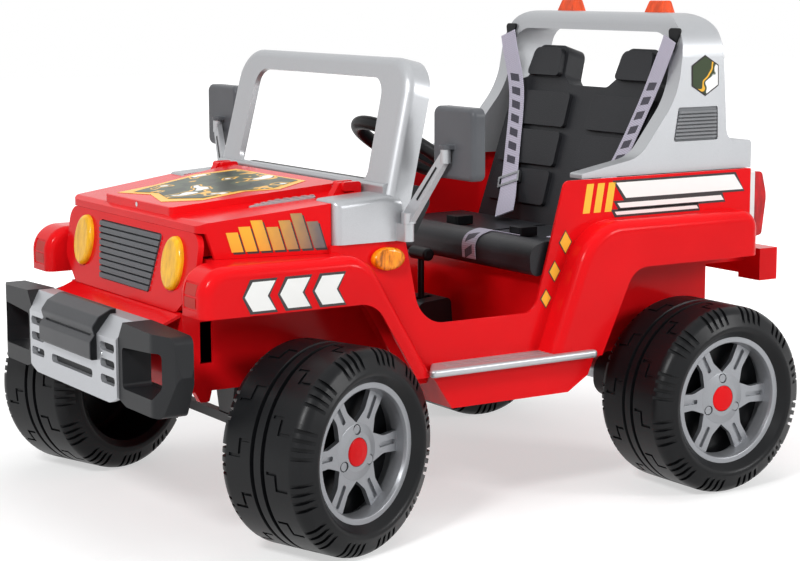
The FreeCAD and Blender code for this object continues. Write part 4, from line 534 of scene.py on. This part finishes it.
class FinishSilver(bpy.types.Operator):
    """Silver frame, roll bar, boards, mirror arms and rims"""
    bl_idname = "ride_on.finish_silver"
    bl_label = "Finish silver trim"

    def execute(self, context):
        colours = settings().colours
        silver = metallic_plastic("Silver flake polypropylene", colours.silver, roughness=0.36)
        pale = metallic_plastic("Pale grey moulded plastic", colours.pale_grey, roughness=0.4)
        trim = metallic_plastic("Grey flake polypropylene", colours.rim_grey, roughness=0.34)
        finish_nodes(("windscreen_frame", "roll_bar", "running_boards", "hood_vents"), silver, BROAD_EDGE)
        finish_nodes([f"mirror_arm_{side}" for side in SIDES], silver, BROAD_EDGE)
        finish_nodes([f"rim_{wheel}" for wheel in WHEELS], trim, BROAD_EDGE)
        finish_nodes(["bumper_plate"], pale, BROAD_EDGE)
        return {"FINISHED"}


class FinishDarkPlastics(bpy.types.Operator):
    """Grey and black moulded plastics"""
    bl_idname = "ride_on.finish_dark"
    bl_label = "Finish dark plastics"

    def execute(self, context):
        colours = settings().colours
        grey = grained_plastic("Dark grey etched polypropylene", colours.dark_grey,
                               roughness=0.45, grain_mm=1.6, depth=0.15)
        mirror = grained_plastic("Mid grey etched ABS", colours.mirror_grey,
                                 roughness=0.38, grain_mm=1.2, depth=0.1)
        black = grained_plastic("Black polypropylene", colours.black,
                                roughness=0.42, grain_mm=1.4, depth=0.12)
        seat = grained_plastic("Charcoal blow-moulded polyethylene", colours.charcoal,
                               roughness=0.4, grain_mm=2.6, depth=0.35)
        vent = grained_plastic("Light grey etched ABS", colours.vent_grey,
                               roughness=0.42, grain_mm=1.2, depth=0.1)
        winch = grained_plastic("Slate grey etched polypropylene", colours.winch_grey,
                                roughness=0.36, grain_mm=1.6, depth=0.12)
        finish_nodes(("front_bumper", "dashboard", "gear_gate", "gearboxes"), grey, BROAD_EDGE)
        finish_nodes(["winch_cover"], winch, BROAD_EDGE)
        finish_nodes(["grille"] + [f"mirror_housing_{side}" for side in SIDES], mirror, TRIM_EDGE)
        finish_nodes(["side_vents"], vent, LOUVRE_EDGE)
        finish_nodes(("steering_wheel", "gear_lever", "accelerator_pedal", "belt_anchors", "belt_buckles",
                      "battery", "column_bracket"), black, SMALL_EDGE)
        finish_nodes(("seat_cushion", "seat_back"), seat, SEAT_EDGE)
        return {"FINISHED"}


class FinishWheels(bpy.types.Operator):
    """Blow-moulded wheels"""
    bl_idname = "ride_on.finish_wheels"
    bl_label = "Finish wheels"

    def execute(self, context):
        tyre = grained_plastic("Black blow-moulded polyethylene", settings().colours.black,
                               roughness=0.36, grain_mm=5.0, depth=0.08)
        finish_nodes([f"wheel_{wheel}" for wheel in WHEELS], tyre, SMALL_EDGE)
        return {"FINISHED"}


class FinishLamps(bpy.types.Operator):
    """Tinted lamp lenses and their white bases"""
    bl_idname = "ride_on.finish_lamps"
    bl_label = "Finish lamps"

    def execute(self, context):
        colours = settings().colours
        amber = tinted_lens("Amber polycarbonate", colours.amber, rib_mm=5.0, contrast=0.2)
        orange = tinted_lens("Orange polycarbonate", colours.orange, rib_mm=5.0, contrast=0.2)
        signal = tinted_lens("Golden polycarbonate", colours.signal, rib_mm=3.0, contrast=0.6)
        red = tinted_lens("Red polycarbonate", colours.lens_red, rib_mm=6.0, contrast=0.3)
        white = moulded_gloss("White moulded ABS", to_linear("dededc"), roughness=0.3, peel=0.04, sheen=0.4)
        for name, material in (("headlight_lenses", amber), ("turn_signals", signal), ("beacons", orange),
                               ("tail_light_lenses", red), ("tail_light_bases", white)):
            finish_nodes([name], material, SMALL_EDGE)
        return {"FINISHED"}


class FinishMetal(bpy.types.Operator):
    """Steel under the body"""
    bl_idname = "ride_on.finish_metal"
    bl_label = "Finish metal"

    def execute(self, context):
        painted = steel("Black painted steel", "2a2b2d", metallic=0.0, roughness=0.45)
        zinc = steel("Zinc plated steel", "b5b8bb", metallic=1.0, roughness=0.34)
        finish_nodes(("rear_axle", "front_axle_beam", "knuckle_left", "knuckle_right", "tie_rod",
                      "steering_column"), painted, BAR_EDGE)
        finish_nodes(("drive_motors", "body_screws"), zinc, SCREW_EDGE)
        return {"FINISHED"}


class MakeBelts(bpy.types.Operator):
    """Webbing straps that stand for the CAD straps, with their slides"""
    bl_idname = "ride_on.make_belts"
    bl_label = "Make belts"

    def execute(self, context):
        colours = settings().colours
        self.sizes = settings().belts
        self.webbing = woven_webbing("Lilac grey polyester webbing", colours.webbing, colours.belt_print)
        self.zinc = steel("Zinc plated slide", "9b9da0", metallic=1.0, roughness=0.3)
        for side, sign in SIDES.items():
            path = [(x, sign * y, z) for x, y, z in SHOULDER_PATH]
            across = (SHOULDER_LEAN, sign, 0.0)
            piece = self.ribbon(f"shoulder_webbing_{side}", path, across)
            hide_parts(f"belt_strap_{side}")
            self.slide(f"belt_slide_{side}", path, across)
        cushion = surface_of("seat_cushion")
        lap_piece = self.ribbon("lap_webbing", LAP_PATH, LAP_ACROSS, cushion)
        self.ribbon("loop_webbing", LOOP_PATH, LOOP_ACROSS, cushion)
        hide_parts("belt_lap")
        return {"FINISHED"}

    def line(self, path):
        return smooth_line([Vector(p) for p in path], self.sizes.sections)

    def slide(self, name, path, across):
        """Flat metal frame that the strap runs through, low on the strap."""
        line = self.line(path)
        spot = round(self.sizes.sections * SLIDE_SHARE)
        along, wide, through = strap_axes(line, spot, Vector(across))
        frames = []
        for beside, half_tall in ((0.006, 0.012), (0.002, 0.007)):
            half_wide = self.sizes.width / 2 + beside
            frames += [(u * half_wide, v * half_tall) for u, v in CORNERS]
        points = []
        for depth in (SLIDE_HALF_DEPTH, -SLIDE_HALF_DEPTH):
            points += [line[spot] + wide * u + along * v + through * depth for u, v in frames]
        faces = []
        for step in range(4):
            after = (step + 1) % 4
            faces.append([step, step + 4, after + 4, after])
            faces.append([step + 8, after + 8, after + 12, step + 12])
            faces.append([step, after, after + 8, step + 8])
            faces.append([step + 4, step + 12, after + 12, after + 4])
        new_piece(name, points, faces, self.zinc, "car")

    def ribbon(self, name, path, across, carrier=None):
        """Strap through the path's points, eased along a smooth curve and laid on its carrier."""
        half = self.sizes.width / 2
        edge = self.sizes.thickness / 2
        centres = self.line(path)
        if carrier:
            centres = [laid_on(carrier, centre, edge + STRAP_GAP) for centre in centres]
        profile = [(-half, 0.0), (-half + edge, edge), (half - edge, edge), (half, 0.0), (half - edge, -edge),
                   (-half + edge, -edge)]
        ring = len(profile)
        points = []
        uvs = []
        run = 0.0
        for index, centre in enumerate(centres):
            wide, through = strap_axes(centres, index, Vector(across))[1:]
            run += (centre - centres[index - 1]).length if index else 0.0
            points += [centre + wide * u + through * v for u, v in profile]
            uvs += [(u, run) for u, v in profile]
        faces = []
        for start in range(0, (len(centres) - 1) * ring, ring):
            for step in range(ring):
                after = (step + 1) % ring
                faces.append([start + step, start + ring + step, start + ring + after, start + after])
        faces.append(list(range(ring)))
        faces.append([len(points) - 1 - step for step in range(ring)])
        return new_piece(name, points, faces, self.webbing, "car", uvs)


class MakeStickers(bpy.types.Operator):
    """Printed films on hood, fenders, rear quarters, pillars and roll bar"""
    bl_idname = "ride_on.make_stickers"
    bl_label = "Make stickers"

    def execute(self, context):
        self.make_films(settings().colours)
        hood = surface_of("hood")
        body = surface_of("front_body", "cabin_floor", "rear_body")
        bar = surface_of("roll_bar")
        for side, sign in SIDES.items():
            self.hood_stripes(side, sign, hood)
            self.fender_arrows(side, sign, body)
            self.quarter_rays(side, sign, body)
            self.quarter_stripes(side, sign, body)
            self.pillar_diamonds(side, sign, body)
            self.badge(side, sign, bar)
        self.hood_patch(hood)
        return {"FINISHED"}

    def make_films(self, colours):
        yellow, white, dark = colours.sticker_yellow, colours.sticker_white, colours.sticker_dark
        green = colours.sticker_green
        whole_car = (-0.6, 0.5)
        hood_side = (0.33, 0.47)
        self.fade = printed_film("Yellow to grey printed vinyl", colours.sticker_grey, yellow, "X", hood_side)
        self.yellow = printed_film("Yellow printed vinyl", yellow, shade(yellow, 1.1), "Z", (0.3, 0.55))
        self.white = printed_film("White printed vinyl", white, shade(white, 0.94), "X", whole_car)
        self.patch = blotched_film("Blotched printed vinyl", ground=green, dark=shade(green, 0.35),
                                   pale=white, warm=yellow)
        self.dark = printed_film("Dark printed vinyl", dark, shade(dark, 1.3), "X", whole_car)

    def lift(self, layer):
        """Height of a film's underside; layer counts the films under it."""
        film = settings().stickers
        return film.lift + layer * (film.thickness + film.lift)

    def lay(self, name, outline, sign, surface, material, body, layer=0):
        """Put a film on a side wall."""
        corners = [(x, sign * BESIDE_CAR, z) for x, z in outline]
        sticker(name, corners, (0, sign, 0), surface, material, body, self.lift(layer))

    def hood_stripes(self, side, sign, hood):
        """Slanting bars of three heights, each with a dark shadow."""
        first, pitch, wide, low, lean = 0.324, 0.0225, 0.019, 0.472, 0.3
        rear_top, fall = 0.532, 0.12
        heights = (0.72, 1.0, 0.86)
        for index in range(7):
            x = first + pitch * index
            top = rear_top - fall * (x - first)
            high = low + (top - low) * heights[index % 3]
            slant = lean * (high - low)
            for layer, (name, shift, material) in enumerate((("shadow", 0.0035, self.dark),
                                                             ("stripe", 0.0, self.fade))):
                left = x - shift
                right = left + wide
                outline = [(left, low - shift), (right, low - shift), (right + slant, high - shift),
                           (left + slant, high - shift)]
                self.lay(f"hood_{name}_{side}_{index}", outline, sign, hood, material, "hood", layer)

    def fender_arrows(self, side, sign, body):
        """Three white arrowheads with a dark edge."""
        first, pitch, long, point, foot, head = 0.322, 0.062, 0.040, 0.014, 0.390, 0.436
        for index in range(3):
            x = first + pitch * index
            for layer, (name, grow, material) in enumerate((("edge", 0.004, self.dark),
                                                            ("arrow", 0.0, self.white))):
                low = foot - grow
                high = head + grow
                middle = (low + high) / 2
                back = x - grow
                front = x + long + grow
                outline = [(back, low), (front, low), (front + point, middle), (front, high), (back, high),
                           (back + point, middle)]
                self.lay(f"fender_{name}_{side}_{index}", outline, sign, body, material, "car", layer)

    def quarter_rays(self, side, sign, body):
        """Three short yellow bars that lean back."""
        first, pitch, wide, lean, low, high = -0.250, 0.024, 0.015, 0.009, 0.494, 0.545
        for index in range(3):
            x = first + pitch * index
            outline = [(x, low), (x + wide, low), (x + wide - lean, high), (x - lean, high)]
            self.lay(f"quarter_ray_{side}_{index}", outline, sign, body, self.yellow, "car")

    def quarter_stripes(self, side, sign, body):
        """White bars with dark edges, each with its back, front, low and high end."""
        rows = ((-0.556, -0.282, 0.516, 0.544), (-0.510, -0.270, 0.499, 0.508),
                (-0.450, -0.262, 0.487, 0.493))
        edge, lean = 0.004, 0.8
        for index, (back, front, low, high) in enumerate(rows):
            slant = (high - low) * lean
            outline = [(back - edge, low - edge), (front + edge, low - edge),
                       (front + slant + 2 * edge, high + edge), (back + slant - edge, high + edge)]
            self.lay(f"quarter_edge_{side}_{index}", outline, sign, body, self.dark, "car")
            outline = [(back, low), (front, low), (front + slant, high), (back + slant, high)]
            self.lay(f"quarter_stripe_{side}_{index}", outline, sign, body, self.white, "car", 1)

    def pillar_diamonds(self, side, sign, body):
        """Yellow diamonds with a dark edge, smaller towards the sill."""
        places = ((-0.150, 0.447), (-0.127, 0.398), (-0.109, 0.352))
        half_wide, half_tall = 0.012, 0.019
        for index, (x, z) in enumerate(places):
            for layer, (name, grow, material) in enumerate((("edge", 0.0025, self.dark),
                                                             ("diamond", 0.0, self.yellow))):
                wide = half_wide - 0.001 * index + grow
                tall = half_tall - 0.002 * index + grow
                outline = [(x, z - tall), (x + wide, z), (x, z + tall), (x - wide, z)]
                self.lay(f"pillar_{name}_{side}_{index}", outline, sign, body, material, "car", layer)

    def badge(self, side, sign, bar):
        """Six-sided blotched patch with a dark rim."""
        x, z = -0.478, 0.724
        angles = [math.radians(60 * step + 90) for step in range(6)]
        for layer, (name, half, material) in enumerate((("badge_rim", 0.037, self.dark),
                                                        ("badge_face", 0.034, self.patch))):
            outline = [(x + half * math.cos(angle), z + half * math.sin(angle)) for angle in angles]
            self.lay(f"{name}_{side}", outline, sign, bar, material, "car", layer)

    def hood_patch(self, hood):
        """Blotched field on the raised panel with a warm band around it."""
        rim = ((0.262, -0.130), (0.335, -0.152), (0.430, -0.118), (0.502, -0.112), (0.478, -0.030),
               (0.502, 0.060), (0.455, 0.118), (0.372, 0.112), (0.330, 0.152), (0.262, 0.120))
        field = ((0.268, -0.110), (0.335, -0.136), (0.425, -0.106), (0.484, -0.086), (0.464, -0.030),
                 (0.482, 0.045), (0.446, 0.102), (0.376, 0.098), (0.332, 0.134), (0.268, 0.104))
        for layer, (name, outline, material) in enumerate((("hood_band", rim, self.yellow),
                                                           ("hood_patch", field, self.patch))):
            corners = [(x, y, ABOVE_HOOD) for x, y in outline]
            sticker(name, corners, (0, 0, 1), hood, material, "hood", self.lift(layer))


class MakeSmallParts(bpy.types.Operator):
    """Marker panes darkened with painted shade, winch caps, painted shade of the mirror arm slots and the
    hood's screw
    """
    bl_idname = "ride_on.make_small_parts"
    bl_label = "Make small parts"

    def execute(self, context):
        colours = settings().colours
        self.lift = settings().stickers.lift
        # The marker red is duller in finish, and darker as painted shade of the recesses.
        self.dull = moulded_gloss("Dull red polypropylene with painted recess shade", colours.marker_red_and_shade, roughness=0.5, peel=0.1,
                                  sheen=0.2)
        # Black inlay for the winch caps; the same film is painted shade in the mirror arm slots.
        self.dark = grained_plastic("Black moulded inlay and painted slot shade", colours.black,
                                    roughness=0.4, grain_mm=1.4, depth=0.1)
        body = surface_of("front_body")
        winch = surface_of("winch_cover")
        for side, sign in SIDES.items():
            self.marker_panes(side, sign, body)
            self.winch_cap(side, sign, winch)
            self.painted_slot_shade(side, sign)
        self.hood_screw()
        return {"FINISHED"}

    def marker_panes(self, side, sign, body):
        """Two dull panes, one over the other, on the nose of a fender, drawn darker red as painted shade of
        their recess.
        """
        inside, outside = 0.281, 0.318
        for row, (low, high) in enumerate(((0.398, 0.414), (0.418, 0.435))):
            outline = ((inside, low), (outside, low), (outside, high), (inside, high))
            corners = [(AHEAD_OF_CAR, sign * y, z) for y, z in outline]
            sticker(f"marker_pane_{side}_{row}", corners, (1, 0, 0), body, self.dull, "car",
                    3 * self.lift)

    def winch_cap(self, side, sign, winch):
        """Black inlay on the end of the winch cover, a little inside its outline."""
        outline = ((0.6435, 0.2935), (0.6535, 0.2935), (0.6535, 0.3215), (0.6456, 0.3319), (0.649, 0.345),
                   (0.638, 0.3605), (0.617, 0.3715), (0.609, 0.3715), (0.609, 0.3665), (0.6176, 0.3665),
                   (0.6435, 0.3355))
        corners = [(x, sign * BESIDE_WINCH, z) for x, z in outline]
        sticker(f"winch_cap_{side}", corners, (0, sign, 0), winch, self.dark, "car",
                self.lift)

    def painted_slot_shade(self, side, sign):
        """Narrow black line along the front of a mirror arm: painted shade that stands for a slot."""
        start = Vector((0.184, sign * 0.319, 0.512))
        end = Vector((0.162, sign * 0.394, 0.618))
        first, last, half_wide = 0.3, 0.82, 0.002
        along = (end - start).normalized()
        across = along.cross(Vector((1, 0, 0))).normalized()
        normal = across.cross(along)
        if normal.x < 0:
            normal = -normal
        corners = []
        for share, aside in ((first, -half_wide), (first, half_wide), (last, half_wide), (last, -half_wide)):
            corners.append(start + (end - start) * share + across * aside)
        arm = f"mirror_arm_{side}"
        sticker(f"mirror_arm_painted_slot_shade_{side}", corners, normal, surface_of(arm), self.dark, arm,
                self.lift)

    def hood_screw(self):
        """Round screw head on the front of the raised panel."""
        zinc = steel("Zinc plated screw", "c4c6c9", metallic=1.0, roughness=0.3)
        radius, height = 0.004, 0.5265
        angles = [math.radians(30 * step) for step in range(12)]
        corners = [(AHEAD_OF_CAR, radius * math.cos(a), height + radius * math.sin(a)) for a in angles]
        sticker("hood_screw", corners, (1, 0, 0), surface_of("hood"), zinc, "hood", self.lift)


class MakeMirrorGlass(bpy.types.Operator):
    """Mirror panes in the housings' recesses"""
    bl_idname = "ride_on.make_mirrors"
    bl_label = "Make mirror glass"

    def execute(self, context):
        glass = mirror_glass("Aluminised mirror glass")
        outline = rounded_rectangle(half_wide=0.0515, half_tall=0.052, radius=0.009)
        middle, height = 0.398, 0.638
        for side, sign in SIDES.items():
            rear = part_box(f"mirror_housing_{side}")[0].x
            points = []
            for depth in (0.0026, 0.0009):
                points += [(rear + depth, sign * middle + u, height + v) for u, v in outline]
            new_piece(f"mirror_pane_{side}", points, slab_faces(len(outline)), glass, f"mirror_{side}")
        return {"FINISHED"}


class MakeStudio(bpy.types.Operator):
    """Camera, floor, lamps and world"""
    bl_idname = "ride_on.make_studio"
    bl_label = "Make studio"

    def execute(self, context):
        scene = context.scene
        scene.view_settings.view_transform = "Standard"
        self.camera(scene, settings().studio)
        self.floor(scene)
        self.world(scene)
        self.lamps(scene)
        return {"FINISHED"}

    def camera(self, scene, view):
        level = math.cos(view.pitch)
        aim = Vector((-math.sin(view.yaw) * level, -math.cos(view.yaw) * level, -math.sin(view.pitch)))
        lens = bpy.data.cameras.new("Photo camera")
        lens.sensor_fit = "HORIZONTAL"
        lens.sensor_width = 36.0
        lens.lens = view.lens
        camera = bpy.data.objects.new("Photo camera", lens)
        camera.location = view.place
        camera.rotation_euler = aim.to_track_quat("-Z", "Y").to_euler()
        camera.rotation_euler.rotate_axis("Z", view.roll)
        scene.collection.objects.link(camera)
        scene.camera = camera

    def lamps(self, scene):
        for name, place, size, power, glossy in LAMPS:
            data = bpy.data.lights.new(name, "AREA")
            data.energy = power
            data.size = size
            lamp = bpy.data.objects.new(name, data)
            lamp.location = place
            lamp.visible_glossy = glossy
            lamp.rotation_euler = (Vector(LAMP_AIM) - Vector(place)).to_track_quat("-Z", "Y").to_euler()
            scene.collection.objects.link(lamp)

    def floor(self, scene):
        """Pale paper floor with a painted glow that shows white and keeps a soft shadow."""
        mesh = bpy.data.meshes.new("Floor")
        corners = [(-u * FLOOR_HALF, -v * FLOOR_HALF, 0) for u, v in CORNERS]
        mesh.from_pydata(corners, [], [(0, 1, 2, 3)])
        floor = bpy.data.objects.new("Floor", mesh)
        scene.collection.objects.link(floor)
        material, tree = new_tree("White studio paper with painted glow")
        place = object_place(tree)
        fibre = noise(tree, place, size_mm=40)
        tint = ramp(tree, fibre, (0.0, (0.5, 0.5, 0.5, 1.0)), (1.0, (0.54, 0.54, 0.54, 1.0)))
        paper = add(tree, "BsdfDiffuse", {"Color": tint})
        # The paper glows as painted light, weaker near the car and full white away from it, so that it runs
        # into the white backdrop and the real shadow still shows near the car.
        reach = add(tree, "VectorMath", {0: place}, operation="LENGTH").outputs["Value"]
        level = add(tree, "MapRange", {"Value": reach, "From Min": 0.7, "From Max": 2.6, "To Min": 0.55,
                                       "To Max": 1.0}).outputs["Result"]
        painted_glow = add(tree, "Emission", {"Color": WHITE, "Strength": level})
        lit = add(tree, "AddShader", {0: paper.outputs[0], 1: painted_glow.outputs[0]})
        plain = add(tree, "BsdfDiffuse", {"Color": (0.7, 0.7, 0.7, 1.0)})
        close_tree(tree, self.seen_or(tree, plain, lit))
        mesh.materials.append(material)

    def seen_or(self, tree, unseen, seen):
        """Mix of two shaders: camera, glossy and transmission rays meet the second, all others the first."""
        path = add(tree, "LightPath").outputs
        either = calc(tree, "MAXIMUM", path["Is Camera Ray"], path["Is Glossy Ray"])
        shown = calc(tree, "MAXIMUM", either, path["Is Transmission Ray"])
        return add(tree, "MixShader", {"Fac": shown, 1: unseen.outputs[0], 2: seen.outputs[0]})

    def world(self, scene):
        """White backdrop that lights the car softly."""
        world = bpy.data.worlds.new("Studio")
        scene.world = world
        world.use_nodes = True
        tree = world.node_tree
        tree.nodes.clear()
        white = add(tree, "Background", {"Color": WHITE, "Strength": 1.0})
        soft = add(tree, "Background", {"Color": WHITE, "Strength": 0.4})
        add(tree, "OutputWorld", {"Surface": self.seen_or(tree, soft, white).outputs[0]})


STEPS = (FinishBody, FinishSilver, FinishDarkPlastics, FinishWheels, FinishLamps, FinishMetal, MakeBelts,
         MakeStickers, MakeSmallParts, MakeMirrorGlass, MakeStudio)
GROUPS = (FinishColours, BeltSizes, StickerSizes, StudioView, RideOnCar)


class RideOnPanel(bpy.types.Panel):
    """Steps that dress the car"""
    bl_idname = "VIEW3D_PT_ride_on_car"
    bl_label = "Ride-on car"
    bl_space_type = "VIEW_3D"
    bl_region_type = "UI"
    bl_category = "Ride-on Car"

    def draw(self, context):
        for step in STEPS:
            self.layout.operator(step.bl_idname)


def register():
    for group in GROUPS + STEPS + (RideOnPanel,):
        bpy.utils.register_class(group)
    bpy.types.Scene.ride_on_car = PointerProperty(type=RideOnCar)


def unregister():
    del bpy.types.Scene.ride_on_car
    for group in reversed(GROUPS + STEPS + (RideOnPanel,)):
        bpy.utils.unregister_class(group)


def main():
    register()
    for step in STEPS:
        group, name = step.bl_idname.split(".")
        getattr(getattr(bpy.ops, group), name)()


if __name__ == "__main__":
    main()
